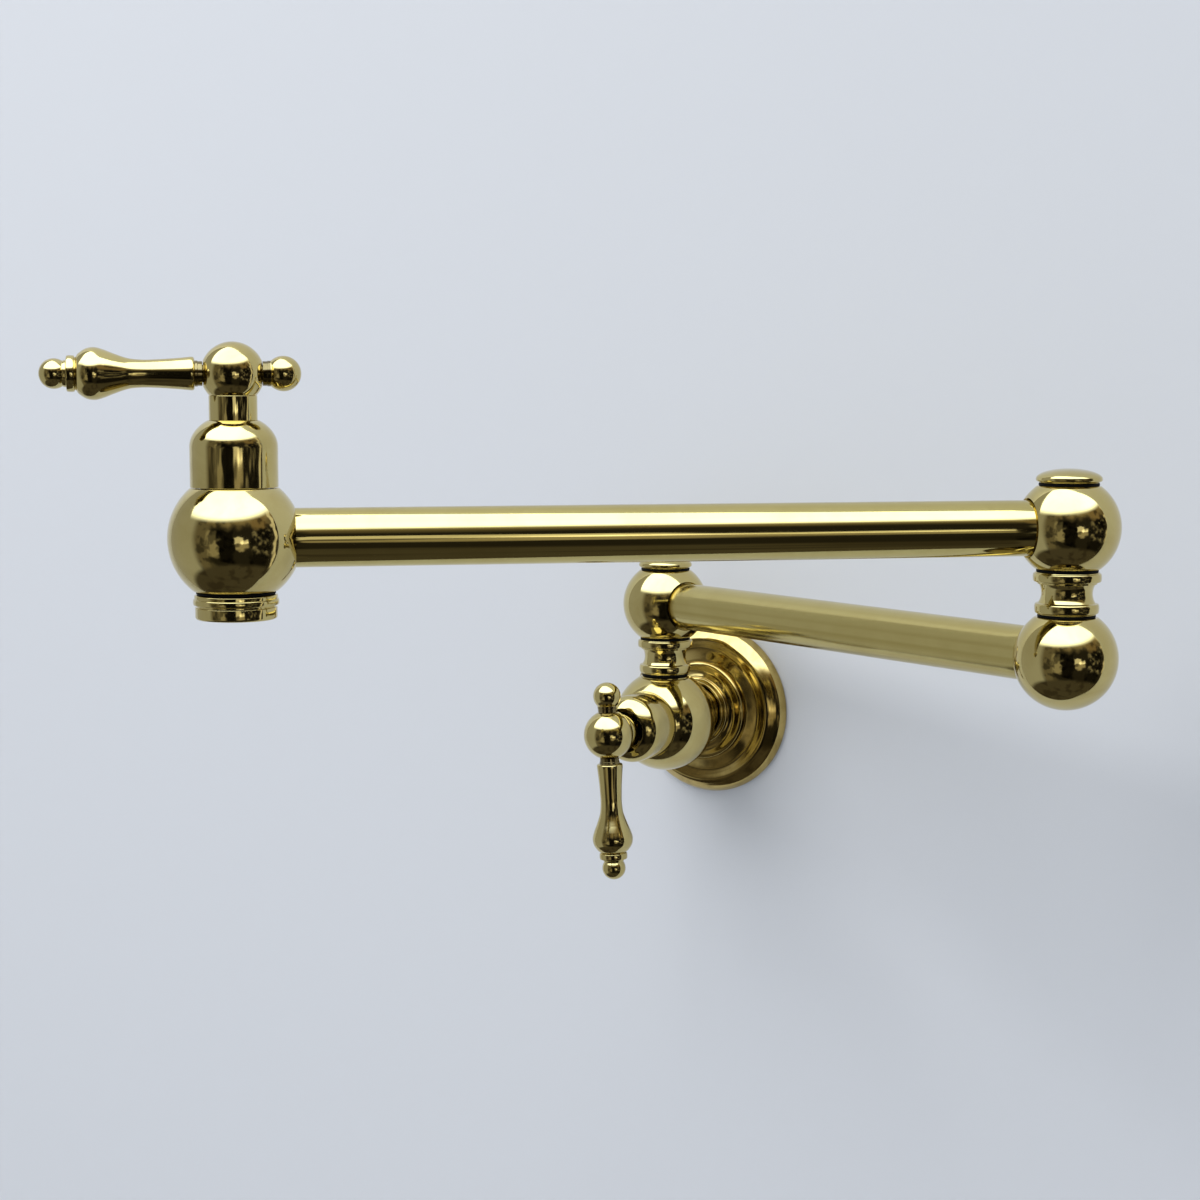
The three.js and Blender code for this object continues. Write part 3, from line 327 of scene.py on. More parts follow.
class Lathe:
    """Makes turned pieces from outlines, joins them and cuts them."""

    CREASE = math.radians(32)
    WELD = 1e-6

    @classmethod
    def spin(cls, points: Sequence[Point], steps: int = Sides.JOINT) -> bmesh.types.BMesh:
        """Spins a closed outline into a solid.

        Args:
            points: Radius and height of each corner in millimetres.
            steps: Number of sides of the solid.

        Returns:
            The solid, in metres about its own Z.
        """
        bm = bmesh.new()
        loop = [bm.verts.new((radius * MM, 0, height * MM)) for radius, height in points]
        edges = []
        for start, end in zip(loop, loop[1:] + loop[:1]):
            if start.co.x > cls.WELD or end.co.x > cls.WELD:
                edges.append(bm.edges.new((start, end)))
        bmesh.ops.spin(
            bm,
            geom=[*loop, *edges],
            cent=(0, 0, 0),
            axis=(0, 0, 1),
            dvec=(0, 0, 0),
            angle=math.tau,
            steps=steps,
            use_merge=True,
            use_duplicate=False,
        )
        bmesh.ops.remove_doubles(bm, verts=bm.verts, dist=cls.WELD)
        bmesh.ops.recalc_face_normals(bm, faces=bm.faces)
        return bm

    @classmethod
    def to_object(cls, bm: bmesh.types.BMesh, name: str, place: Place) -> bpy.types.Object:
        """Turns a solid into an object whose place is in its mesh.

        Args:
            bm: The solid, which is freed.
            name: The object's name.
            place: Where it stands.

        Returns:
            The object, at the origin.
        """
        bm.transform(place.matrix())
        obj = in_scene(name, to_mesh(bm, name))
        cls.shade(obj)
        return obj

    @staticmethod
    def join(whole: bmesh.types.BMesh, parts: Iterable[bmesh.types.BMesh]) -> None:
        """Adds loose solids to another one and frees them.

        Args:
            whole: The solid that they are added to.
            parts: The loose solids.
        """
        for part in parts:
            loose = to_mesh(part, "part")
            whole.from_mesh(loose)
            bpy.data.meshes.remove(loose)

    @classmethod
    def shade(cls, obj: bpy.types.Object) -> None:
        """Shades an object smooth, but for its sharp edges.

        Args:
            obj: The object.
        """
        bm = bmesh.new()
        bm.from_mesh(obj.data)
        for face in bm.faces:
            face.smooth = True
        for edge in bm.edges:
            edge.smooth = len(edge.link_faces) != 2 or edge.calc_face_angle(0) < cls.CREASE
        bm.to_mesh(obj.data)
        bm.free()

    @classmethod
    def cut(cls, obj: bpy.types.Object, cutters: Iterable[bpy.types.Object]) -> None:
        """Cuts solids out of an object and deletes them.

        Args:
            obj: The object that is cut.
            cutters: The solids taken out of it.
        """
        for cutter in cutters:
            modifier = obj.modifiers.new("cut", "BOOLEAN")
            modifier.operation = "DIFFERENCE"
            modifier.solver = "EXACT"
            modifier.object = cutter
            bpy.context.view_layer.update()
            graph = bpy.context.evaluated_depsgraph_get()
            cut_mesh = bpy.data.meshes.new_from_object(obj.evaluated_get(graph))
            obj.modifiers.clear()
            old_mesh = obj.data
            obj.data = cut_mesh
            cut_mesh.name = obj.name
            bpy.data.meshes.remove(old_mesh)
            bpy.data.objects.remove(cutter)
        cls.shade(obj)


# ---- finishes --------------------------------------------------------------------------------


class Graph:
    """A short way to write a node tree."""

    def __init__(self, tree: bpy.types.NodeTree) -> None:
        """Keeps the tree that the nodes go into."""
        self.tree = tree

    def node(
        self, kind: str, inputs: dict[str | int, object] | None = None, **settings: object
    ) -> bpy.types.Node:
        """Adds a node.

        Args:
            kind: Blender's name of the node type.
            inputs: Value or linked socket for each input, by name or number.
            settings: The node's own settings.

        Returns:
            The node.
        """
        node = self.tree.nodes.new(kind)
        for name, value in settings.items():
            setattr(node, name, value)
        self.fill(node, inputs or {})
        return node

    def fill(self, node: bpy.types.Node, inputs: dict) -> None:
        """Gives a node's inputs their values or linked sockets, by name or number.

        Args:
            node: The node.
            inputs: Value or linked socket for each input.
        """
        for key, value in inputs.items():
            if isinstance(value, bpy.types.NodeSocket):
                self.tree.links.new(value, node.inputs[key])
            else:
                node.inputs[key].default_value = value

    def feed(self, shader: bpy.types.Node, colour: object, rough: object, normal: object) -> None:
        """Links a main shader's colour, roughness and normal."""
        self.fill(shader, {"Base Color": colour, "Roughness": rough, "Normal": normal})

    def math(self, operation: str, *values: object) -> bpy.types.NodeSocket:
        """Works out one sum of numbers and gives the socket of the result."""
        return self.node("ShaderNodeMath", dict(enumerate(values)), operation=operation).outputs[0]

    def noise(
        self, vector: object, scale: object, detail: float, output: str = "Fac"
    ) -> bpy.types.NodeSocket:
        """Adds a cloudy pattern and gives the socket of its value or colour."""
        inputs = {"Vector": vector, "Scale": scale, "Detail": detail}
        return self.node("ShaderNodeTexNoise", inputs).outputs[output]

    def rise(self, value: object, edge: float, width: float) -> bpy.types.NodeSocket:
        """Gives 0 under an edge and 1 over it, for an angle in radians and an edge in degrees."""
        return self.clear(value, math.radians(edge - width / 2), math.radians(edge + width / 2))

    def fall(self, value: object, edge: float, width: float) -> bpy.types.NodeSocket:
        """Gives 1 under an edge and 0 over it, for an angle in radians and an edge in degrees."""
        return self.math("SUBTRACT", 1.0, self.rise(value, edge, width))

    def between(self, value: object, low: float, high: float, width: float) -> bpy.types.NodeSocket:
        """Gives 1 between two edges and 0 outside them, as rise and fall do."""
        return self.math("MULTIPLY", self.rise(value, low, width), self.fall(value, high, width))

    def clear(self, value: object, low: float, high: float) -> bpy.types.NodeSocket:
        """Turns a soft pattern into clear shapes, 0 under the low value and 1 over the high one."""
        limits = {"Value": value, "From Min": low, "From Max": high}
        return self.node("ShaderNodeMapRange", limits, interpolation_type="SMOOTHSTEP").outputs[0]

    def blend(self, share: object, low: object, high: object) -> bpy.types.NodeSocket:
        """Mixes two colours by a share and gives the socket of the result."""
        return self.node("ShaderNodeMix", {0: share, 6: low, 7: high}, data_type="RGBA").outputs[2]


def opaque(colour: Colour) -> tuple[float, float, float, float]:
    """Gives a colour with full alpha."""
    return (*colour, 1.0)


def scaled(colour: Colour, level: float) -> tuple[float, float, float, float]:
    """Gives a colour at a level, with full alpha."""
    return (*(level * part for part in colour), 1.0)


def new_group(
    name: str, inputs: dict[str, tuple[str, object]], outputs: dict[str, str]
) -> bpy.types.NodeTree:
    """Makes an empty shader group with its sockets.

    Args:
        name: The group's name.
        inputs: Kind and default value of each input.
        outputs: Kind of each output.

    Returns:
        The group.
    """
    group = bpy.data.node_groups.new(name, "ShaderNodeTree")
    for label, (kind, default) in inputs.items():
        socket = group.interface.new_socket(label, in_out="INPUT", socket_type=f"NodeSocket{kind}")
        if default is not None:
            socket.default_value = default
    for label, kind in outputs.items():
        group.interface.new_socket(label, in_out="OUTPUT", socket_type=f"NodeSocket{kind}")
    return group


def tarnish_group() -> bpy.types.NodeTree:
    """Builds the clouded tarnish and wipe marks that brass takes on in a kitchen.

    Returns:
        A group that gives the surface's colour and roughness.
    """
    group = new_group(
        "kitchen_tarnish",
        {
            "Vector": ("Vector", None),
            "Clean": ("Color", (1, 1, 1, 1)),
            "Clouded": ("Color", (0.5, 0.5, 0.5, 1)),
            "Cloud Scale": ("Float", 60.0),
            "Cloud Amount": ("Float", 0.3),
            "Smooth": ("Float", 0.08),
            "Dull": ("Float", 0.2),
        },
        {"Colour": "Color", "Roughness": "Float"},
    )
    graph = Graph(group)
    given = graph.node("NodeGroupInput").outputs
    clouds = graph.node(
        "ShaderNodeTexNoise",
        {
            "Vector": given["Vector"],
            "Scale": given["Cloud Scale"],
            "Detail": 5.0,
            "Roughness": 0.62,
            "Distortion": 0.6,
        },
    ).outputs["Fac"]
    share = graph.node("ShaderNodeMapRange", {"Value": clouds, "From Min": 0.42, "From Max": 0.68}).outputs[0]
    amount = graph.math("MULTIPLY", share, given["Cloud Amount"])
    colour = graph.blend(amount, given["Clean"], given["Clouded"])
    fine_scale = graph.math("MULTIPLY", given["Cloud Scale"], 9.0)
    wear = graph.math("MULTIPLY", share, graph.noise(given["Vector"], fine_scale, 3.0))
    rough = graph.node(
        "ShaderNodeMapRange",
        {"Value": wear, "From Max": 0.7, "To Min": given["Smooth"], "To Max": given["Dull"]},
    )
    graph.node("NodeGroupOutput", {"Colour": colour, "Roughness": rough.outputs[0]})
    return group


def hairline_group() -> bpy.types.NodeTree:
    """Builds fine lines that run along the pattern's X, as brushing and turning leave.

    Returns:
        A group that gives a height for a bump and a mask of the deeper lines.
    """
    group = new_group(
        "hairlines",
        {
            "Vector": ("Vector", None),
            "Fineness": ("Float", 2500.0),
            "Length": ("Float", 60.0),
        },
        {"Height": "Float", "Lines": "Float"},
    )
    graph = Graph(group)
    given = graph.node("NodeGroupInput").outputs
    stretch = graph.node(
        "ShaderNodeCombineXYZ", {"X": given["Length"], "Y": given["Fineness"], "Z": given["Fineness"]}
    )
    drawn = graph.node(
        "ShaderNodeVectorMath", {0: given["Vector"], 1: stretch.outputs[0]}, operation="MULTIPLY"
    ).outputs[0]
    fine, coarse = graph.noise(drawn, 1.0, 2.0), graph.noise(drawn, 0.23, 1.0)
    lines = graph.node("ShaderNodeMapRange", {"Value": coarse, "From Min": 0.5, "From Max": 0.72}).outputs[0]
    height = graph.math("SUBTRACT", fine, lines)
    graph.node("NodeGroupOutput", {"Height": height, "Lines": lines})
    return group


@dataclass(frozen=True)
class Brass:
    """A brass finish.

    Attributes:
        clean: Colour where the metal is clean.
        clouded: Colour where tarnish clouds it.
        cloud_amount: How far the tarnish goes, from 0 to 1.
        cloud_scale: Fineness of its clouds.
        smooth: Roughness where it is clean.
        dull: Roughness where it is worn.
        lines: Depth of the hairlines, in millimetres.
        fineness: Fineness of the hairlines.
        length: How short the hairlines are.
        line_stain: How far the deeper hairlines darken the metal, from 0 to 1.
        waves: Depth of the slow waves of a spun or buffed surface, in millimetres.
        wave_scale: Fineness of those waves.
    """

    clean: Colour = (0.605, 0.500, 0.205)
    clouded: Colour = (0.44, 0.335, 0.105)
    cloud_amount: float = 0.38
    cloud_scale: float = 55.0
    smooth: float = 0.045
    dull: float = 0.15
    lines: float = 0.0006
    fineness: float = 2200.0
    length: float = 90.0
    line_stain: float = 0.0
    waves: float = 0.02
    wave_scale: float = 42.0

    def build(self, name: str, groups: "Groups", turn: float = 0.0) -> bpy.types.Material:
        """Builds the material.

        Args:
            name: The material's name.
            groups: The shared effects.
            turn: Heading of the hairlines about Z, in radians.

        Returns:
            The material.
        """
        material, graph, shader = new_material(name)
        spot = graph.node("ShaderNodeTexCoord").outputs["Object"]
        turned = graph.node("ShaderNodeMapping", {"Vector": spot, "Rotation": (0.0, 0.0, -turn)}).outputs[0]
        tarnish = graph.node(
            "ShaderNodeGroup",
            {
                "Vector": spot,
                "Clean": opaque(self.clean),
                "Clouded": opaque(self.clouded),
                "Cloud Scale": self.cloud_scale,
                "Cloud Amount": self.cloud_amount,
                "Smooth": self.smooth,
                "Dull": self.dull,
            },
            node_tree=groups.tarnish,
        )
        hairlines = graph.node(
            "ShaderNodeGroup",
            {"Vector": turned, "Fineness": self.fineness, "Length": self.length},
            node_tree=groups.hairlines,
        )
        waves = graph.noise(spot, self.wave_scale, 1.0)
        wavy = graph.node(
            "ShaderNodeBump", {"Height": waves, "Distance": self.waves * MM, "Strength": 1.0}
        )
        lined = graph.node(
            "ShaderNodeBump",
            {
                "Height": hairlines.outputs["Height"],
                "Distance": self.lines * MM,
                "Strength": 1.0,
                "Normal": wavy.outputs["Normal"],
            },
        )
        stain = graph.math("MULTIPLY", hairlines.outputs["Lines"], self.line_stain)
        stained = graph.blend(stain, tarnish.outputs["Colour"], opaque(self.clouded))
        graph.feed(shader, stained, tarnish.outputs["Roughness"], lined.outputs["Normal"])
        shader.inputs["Metallic"].default_value = 1.0
        return material


@dataclass(frozen=True)
class Plain:
    """A finish of rubber, ceramic, steel or plastic with a fine grain.

    Attributes:
        colour: Its main colour.
        second: Its colour in the grain's hollows.
        metallic: 1 for a metal.
        smooth: Least roughness.
        dull: Greatest roughness.
        grain: Fineness of the grain.
        depth: Depth of the grain in millimetres.
        sheen: Strength of its plain reflection, where it isn't metal.
    """

    colour: Colour
    second: Colour
    metallic: float
    smooth: float
    dull: float
    grain: float
    depth: float
    sheen: float = 0.5

    def build(self, name: str) -> bpy.types.Material:
        """Builds the material.

        Args:
            name: The material's name.

        Returns:
            The material.
        """
        material, graph, shader = new_material(name)
        spot = graph.node("ShaderNodeTexCoord").outputs["Object"]
        grain = graph.noise(spot, self.grain, 4.0)
        colour = graph.blend(grain, opaque(self.colour), opaque(self.second))
        rough = graph.node(
            "ShaderNodeMapRange", {"Value": grain, "To Min": self.smooth, "To Max": self.dull}
        )
        bump = graph.node("ShaderNodeBump", {"Height": grain, "Distance": self.depth * MM})
        graph.feed(shader, colour, rough.outputs[0], bump.outputs["Normal"])
        graph.fill(shader, {"Metallic": self.metallic, "Specular IOR Level": self.sheen})
        return material


def new_material(name: str) -> tuple[bpy.types.Material, Graph, bpy.types.Node]:
    """Starts a material.

    Args:
        name: The material's name.

    Returns:
        The material, its node tree and its main shader.
    """
    material = bpy.data.materials.new(name)
    material.use_nodes = True
    tree = material.node_tree
    return material, Graph(tree), tree.nodes["Principled BSDF"]


@dataclass
class Groups:
    """The effects that several materials share.

    Attributes:
        tarnish: Clouds that change the colour and the roughness.
        hairlines: Fine lines that run one way.
    """

    tarnish: bpy.types.NodeTree = field(default_factory=tarnish_group)
    hairlines: bpy.types.NodeTree = field(default_factory=hairline_group)


POLISHED = Brass()
FLANGE = Brass(
    clean=(0.56, 0.42, 0.145),
    clouded=(0.21, 0.14, 0.033),
    cloud_amount=0.7,
    smooth=0.07,
    dull=0.22,
    waves=0.20,
    wave_scale=30.0,
)
BRUSHED = Brass(
    clean=(0.600, 0.500, 0.190),
    clouded=(0.48, 0.380, 0.120),
    cloud_amount=0.30,
    smooth=0.15,
    dull=0.26,
    lines=0.004,
    fineness=1500.0,
    length=5.0,
    line_stain=0.7,
    waves=0.0,
)
# Darker brass for the knobs' necks next to the hub: painted shade between the hub and each knob.
NECK_PAINTED_SHADE = Brass(
    clean=(0.26, 0.205, 0.085),
    clouded=(0.05, 0.038, 0.016),
    cloud_amount=0.8,
    smooth=0.06,
    dull=0.2,
)
RAW = Brass(
    clean=(0.52, 0.41, 0.17),
    clouded=(0.33, 0.23, 0.08),
    cloud_amount=0.6,
    smooth=0.24,
    dull=0.42,
    lines=0.003,
)
PLAIN_FINISHES = {
    Finish.RUBBER: Plain((0.003, 0.003, 0.003), (0.006, 0.006, 0.006), 0.0, 0.50, 0.68, 900.0, 0.01, 0.06),
    Finish.CERAMIC: Plain((0.86, 0.85, 0.80), (0.80, 0.79, 0.74), 0.0, 0.18, 0.30, 700.0, 0.002),
    Finish.STEEL: Plain((0.30, 0.295, 0.27), (0.20, 0.195, 0.175), 1.0, 0.14, 0.30, 1400.0, 0.004),
    Finish.PLASTIC: Plain((0.70, 0.71, 0.70), (0.62, 0.63, 0.62), 0.0, 0.36, 0.52, 800.0, 0.006),
}


class Finishes:
    """Builds each material once and hands it out."""

    def __init__(self, first_heading: float, second_heading: float) -> None:
        """Builds the materials.

        Args:
            first_heading: Heading of the first arm about Z, in radians.
            second_heading: Heading of the second arm about Z, in radians.
        """
        groups = Groups()
        self.materials: dict[Finish, bpy.types.Material] = {
            Finish.POLISHED: POLISHED.build("polished_brass", groups),
            Finish.FLANGE: FLANGE.build("spun_flange_brass", groups),
            Finish.BRUSHED: BRUSHED.build("first_tube_brass", groups, first_heading),
            Finish.RAW: RAW.build("machined_brass", groups),
        }
        for finish, plain in PLAIN_FINISHES.items():
            self.materials[finish] = plain.build(finish.value)
        # The knobs' necks get this darker brass as painted shade.
        self.neck_shade = NECK_PAINTED_SHADE.build("neck_painted_shade_brass", groups)
        drawn = replace(BRUSHED, smooth=0.05, dull=0.12, lines=0.0012, line_stain=0.4)
        self.second_tube = drawn.build("second_tube_brass", groups, second_heading)


class Bench:
    def __init__(self, frame: dict, finishes: Finishes) -> None:
        """Keeps what every sub-assembly needs.

        Args:
            frame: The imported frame.
            finishes: The materials.
        """
        self.frame = frame
        self.finishes = finishes
        self.shown: set[str] = set()

    def fit(
        self,
        obj: bpy.types.Object,
        node: str,
        body: Body,
        finish: Finish,
        material: bpy.types.Material | None = None,
    ) -> None:
        """Dresses a piece, and puts it on its body in place of its node.

        Args:
            obj: The piece.
            node: The node that it stands for.
            body: The body that carries it.
            finish: Its finish.
            material: Its material, where that isn't the finish's own.
        """
        bands = [face.material_index for face in obj.data.polygons]
        obj.data.materials.clear()
        obj.data.materials.append(material or self.finishes.materials[finish])
        obj.data.polygons.foreach_set("material_index", bands)
        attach(obj, body.value)
        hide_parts(node)
        self.shown.add(node)
        LOG.info("%s rides on %s", obj.name, body.value)

    def turn(
        self,
        node: str,
        outline: Outline,
        place: Place,
        body: Body,
        finish: Finish,
        soft: float = 0.25,
        sides: int = Sides.JOINT,
    ) -> bpy.types.Object:
        """Turns a piece and fits it.

        Args:
            node: The node that it stands for.
            outline: Its outline.
            place: Where it stands.
            body: The body that carries it.
            finish: Its finish.
            soft: Rounding of its edges in millimetres.
            sides: Number of sides.

        Returns:
            The piece.
        """
        obj = Lathe.to_object(Lathe.spin(outline.softened(soft), sides), f"{node}_piece", place)
        self.fit(obj, node, body, finish)
        return obj

    def dress_inner(self) -> None:
        """Gives every node that is still shown its finish."""
        slots = {entry["node"]: entry["material_slot"] for entry in self.frame["record"]["subparts"]}
        for name, obj in self.frame["nodes"].items():
            if name in self.shown:
                continue
            material = self.finishes.materials[Finish(slots[name])]
            if obj.material_slots:
                obj.material_slots[0].material = material
            else:
                obj.data.materials.append(material)
            LOG.info("%s keeps its solid", name)


def cylinder(radius: float, low: float, high: float) -> Outline:
    """Outlines a solid cylinder in millimetres."""
    return Outline().to((0, low), (radius, low), (radius, high), (0, high))


def ring(inner: float, outer: float, low: float, high: float) -> Outline:
    """Outlines a flat ring in millimetres."""
    return Outline().to((inner, low), (outer, low), (outer, high), (inner, high))


def cutter(outline: Outline, place: Place, sides: int = Sides.KNOB) -> bpy.types.Object:
    """Turns a solid that is only used to cut another."""
    return Lathe.to_object(Lathe.spin(outline.points, sides), "cutter", place)


# ---- sub-assemblies --------------------------------------------------------------------------


@dataclass
class WallFitting:
    """The flange, collar, nipple and valve body, measured outwards from the wall's face.

    Attributes:
        place: Where it stands.
        standoff: Distance of the valve's centre from the wall.
        neck: Radius of the valve's neck.
        ball: Radius of the valve's ball.
        bonnet_seat: Distance of the bonnet's seat from the ball's centre.
        bore: Radius of the cartridge's chamber.
        floor: Height of the chamber's floor over the ball's centre.
        port: Radius of the opening in that floor, and the height of its back.
        inlet: Radius of the waterway behind it, and the height where it meets the nipple.
        neck_end: Distance of the neck's end from the wall.
        flange: Radius of the flange.
        crest: Radius and height of the flange's outer ridge.
        dish: Radius and height of its hollow.
        inner: Radius and height of its face under the collar.
        wall: Thickness of the flange.
        collar: Radius of the collar.
        nipple: Radius of the nipple.
        nipple_bore: Radius of its hole.
        nipple_ends: Height of its two ends.
        thread: Height of the first and the last ridge of its pipe thread.
        thread_pitch: Distance from one ridge to the next.
        thread_depth: Depth of the thread.
        fit: Play between pieces that slide over each other.
        stem_hole: Radius of the hole for the swivel's stem.
        stem_hole_ends: Height of its floor, and a height over its mouth.
        boss: Radius of the boss under the swivel.
        boss_top: Height of its flat over the ball's centre.
        boss_foot: Height of the flat that it stands on.
    """

    place: Place
    standoff: float = 44.0
    neck: float = 12.6
    ball: float = 22.4
    bonnet_seat: float = 16.9
    bore: float = 11.5
    floor: float = -6.0
    port: Point = (5.5, -9.0)
    inlet: Point = (7.3, -18.1)
    neck_end: float = 6.0
    flange: float = 38.9
    crest: Point = (32.2, 9.2)
    dish: Point = (27.5, 8.2)
    inner: Point = (23.2, 9.5)
    wall: float = 2.0
    collar: float = 22.3
    nipple: float = 10.4
    nipple_bore: float = 7.3
    nipple_ends: tuple[float, float] = (-25.0, 24.0)
    thread: tuple[float, float] = (-24.2, -7.5)
    thread_pitch: float = 1.81
    thread_depth: float = 0.9
    fit: float = 0.3
    stem_hole: float = 7.7
    stem_hole_ends: tuple[float, float] = (7.5, 24.0)
    boss: float = 10.7
    boss_top: float = 20.1
    boss_foot: float = 19.3

    def build(self, bench: Bench) -> None:
        """Builds the four pieces.

        Args:
            bench: Where pieces are finished.
        """
        at, body = self.place, Body.WALL
        bench.turn("wall_flange", self.flange_outline(), at, body, Finish.FLANGE, 0.5, Sides.FLANGE)
        bench.turn("flange_collar", self.collar_outline(), at, body, Finish.FLANGE, 0.3, Sides.COLLAR)
        bench.turn("inlet_nipple", self.nipple_outline(), at, body, Finish.RAW, 0.12)
        self.valve_body(bench)

    def flange_outline(self) -> Outline:
        """Outlines the spun flange, with its hollow back.

        Returns:
            The outline, ready to soften and spin.
        """
        hole = self.neck + self.fit
        edge = self.flange - 0.3
        foot = self.flange - 4
        saddle = ((self.crest[0] + self.dish[0]) / 2, (self.crest[1] + self.dish[1]) / 2 - 0.3)
        under = self.dish[1] - self.wall
        face = [(edge, 2.7), (37.4, 5.0), (35.2, 7.2), (32.6, 8.95), saddle, self.dish, self.inner]
        back = [(self.dish[0] - self.wall, under), (self.crest[0] - 1, under), (foot, 1.2)]
        return (
            Outline()
            .to((foot, 0), (self.flange, 0), (self.flange, 1.9))
            .flow(face, 10)
            .to((hole, self.inner[1]), (hole, self.inner[1] - self.wall))
            .flow(back, 8)
        )

    def collar_outline(self) -> Outline:
        """Outlines the stepped ring on the valve's neck.

        Returns:
            The outline, ready to soften and spin.
        """
        hole = self.neck + self.fit
        foot = self.inner[1] + 0.25
        return (
            Outline()
            .to((hole, foot), (self.collar, foot))
            .arc((self.collar - 1.4, 11.1), (1.4, 1.4), 0, 80, 10)
            .flow([(20.2, 12.3), (18.0, 12.15), (15.9, 12.9)], 6)
            .to((15.4, 13.0))
            .arc((14.5, 14.1), (0.9, 0.9), 0, 90, 8)
            .to((13.9, 15.0), (13.9, 15.5))
            .arc((13.4, 15.5), (0.5, 0.5), 0, 90, 4)
            .to((hole, 16.0))
        )

    def nipple_outline(self) -> Outline:
        """Outlines the nipple, with ridges for its pipe thread.

        Returns:
            The outline, ready to soften and spin.
        """
        back, front = self.nipple_ends
        outline = Outline().to((self.nipple_bore, back), (self.nipple - 1.1, back))
        root = self.nipple - self.thread_depth
        ridge, last = self.thread
        while ridge < last:
            outline.to((root, ridge), (self.nipple, ridge + self.thread_pitch / 2))
            ridge += self.thread_pitch
        outline.to((root, ridge), (self.nipple - 0.7, 5.3), (self.nipple, 6.0))
        return outline.to((self.nipple, front), (self.nipple_bore, front))

    def valve_body(self, bench: Bench) -> None:
        """Builds the ball with its neck, its boss and the stem's hole.

        Args:
            bench: Where pieces are finished.
        """
        centre = self.place.raised(self.standoff)
        back = self.neck_end - self.standoff
        ball_back = -math.sqrt(self.ball**2 - self.neck**2)
        socket = self.nipple + self.fit
        port, port_back = self.port
        inlet, seat = self.inlet
        outline = (
            Outline()
            .to((socket, back), (self.neck, back), (self.neck, ball_back))
            .ball(self.ball, ball_back + 0.6, self.bonnet_seat, 48)
            .to((self.bore, self.bonnet_seat), (self.bore, self.floor))
            .to((port, self.floor), (port, port_back), (inlet, port_back))
            .to((inlet, seat), (socket, seat))
        )
        spun = Lathe.spin(outline.softened(0.3), Sides.VALVE)
        obj = Lathe.to_object(spun, "valve_body_piece", centre)
        up = Place(centre.origin, UP, RIGHT)
        clear = 30
        crown = cylinder(clear, self.boss_top, clear)
        moat = ring(self.boss, clear, self.boss_foot, clear)
        hole = cylinder(self.stem_hole, *self.stem_hole_ends)
        Lathe.cut(obj, [cutter(crown, up), cutter(moat, up), cutter(hole, up)])
        bench.fit(obj, "valve_body", Body.WALL, Finish.POLISHED)


@dataclass
class SwivelJoint:
    """The washers, spool and cap that stay with the lower ball, measured from its flat.

    Attributes:
        name: The joint's name, which its pieces' names start with.
        upper_ball: The place of the upper ball's centre.
        body: The body that carries them.
        washer: Thickness of a washer.
        face: Gap between a washer and the piece under it.
        gap: Distance between two brass pieces.
        reach: How far the spool and cap reach into that distance.
        spool: Height of the spool.
        ball_foot: Height of the upper ball's centre over its lower flat.
        ball_top: Height of its upper flat over its centre.
        stem_hole: Radius of the hole for the stem.
        cap_bore: Radius of the cap's threaded hole.
        washers: Radius of the lower, upper and cap washer.
    """

    name: str
    upper_ball: Place
    body: Body
    washer: float = 0.9
    face: float = 0.05
    gap: float = 1.4
    reach: float = 0.35
    spool: float = 14.45
    ball_foot: float = 14.75
    ball_top: float = 15.0
    stem_hole: float = 7.7
    cap_bore: float = 4.8
    washers: tuple[float, float, float] = (10.3, 11.0, 10.7)

    def build(self, bench: Bench) -> None:
        """Builds the pieces from the bottom up.

        Args:
            bench: Where pieces are finished.
        """
        stack = 2 * self.gap + self.spool
        foot = self.upper_ball.raised(-self.ball_foot - stack)
        top = stack + self.ball_foot + self.ball_top
        lower, upper, over = self.washers
        for label, outer, inner, at in (
            ("lower_washer", lower, self.stem_hole, self.face),
            ("upper_washer", upper, self.stem_hole, stack - self.face - self.washer),
            ("cap_washer", over, self.cap_bore, top + self.face),
        ):
            washer = ring(inner, outer, at, at + self.washer)
            bench.turn(f"{self.name}_{label}", washer, foot, self.body, Finish.RUBBER)
        for label, outline, at, soft in (
            ("spool", self.spool_outline(), self.gap, 0.15),
            ("cap", self.cap_outline(), top + self.gap, 0.2),
        ):
            bench.turn(f"{self.name}_{label}", outline, foot.raised(at), self.body, Finish.POLISHED, soft)

    def spool_outline(self) -> Outline:
        """Outlines the waisted collar between its two beads.

        Returns:
            The outline, ready to soften and spin.
        """
        bead, fillet = 3.1, 0.75
        step = self.spool - bead - fillet
        top = self.spool + self.reach
        return (
            Outline()
            .to((self.stem_hole, -self.reach), (10.5, -self.reach))
            .bead(10.55, 11.45, 0, 3.6, 14)
            .flow([(10.05, 3.85), (9.4, 5.2), (9.1, 7.0), (9.35, 9.0), (10.05, step)], 6)
            .to((10.65, step), (10.65, step + fillet))
            .bead(11.5, 12.15, step + fillet, bead, 14)
            .to((11.4, top), (self.stem_hole, top))
        )

    def cap_outline(self) -> Outline:
        """Outlines the low domed cap with its rolled edge.

        Returns:
            The outline, ready to soften and spin.
        """
        return (
            Outline()
            .to((self.cap_bore, -self.reach), (10.6, -self.reach), (10.8, 0))
            .arc((10.85, 0.9), (0.9, 0.9), -90, 30, 8)
            .arc((0, 1.0), (11.75, 3.7), 8, 90, 24)
            .to((0, 2.8), (self.cap_bore, 2.8))
        )


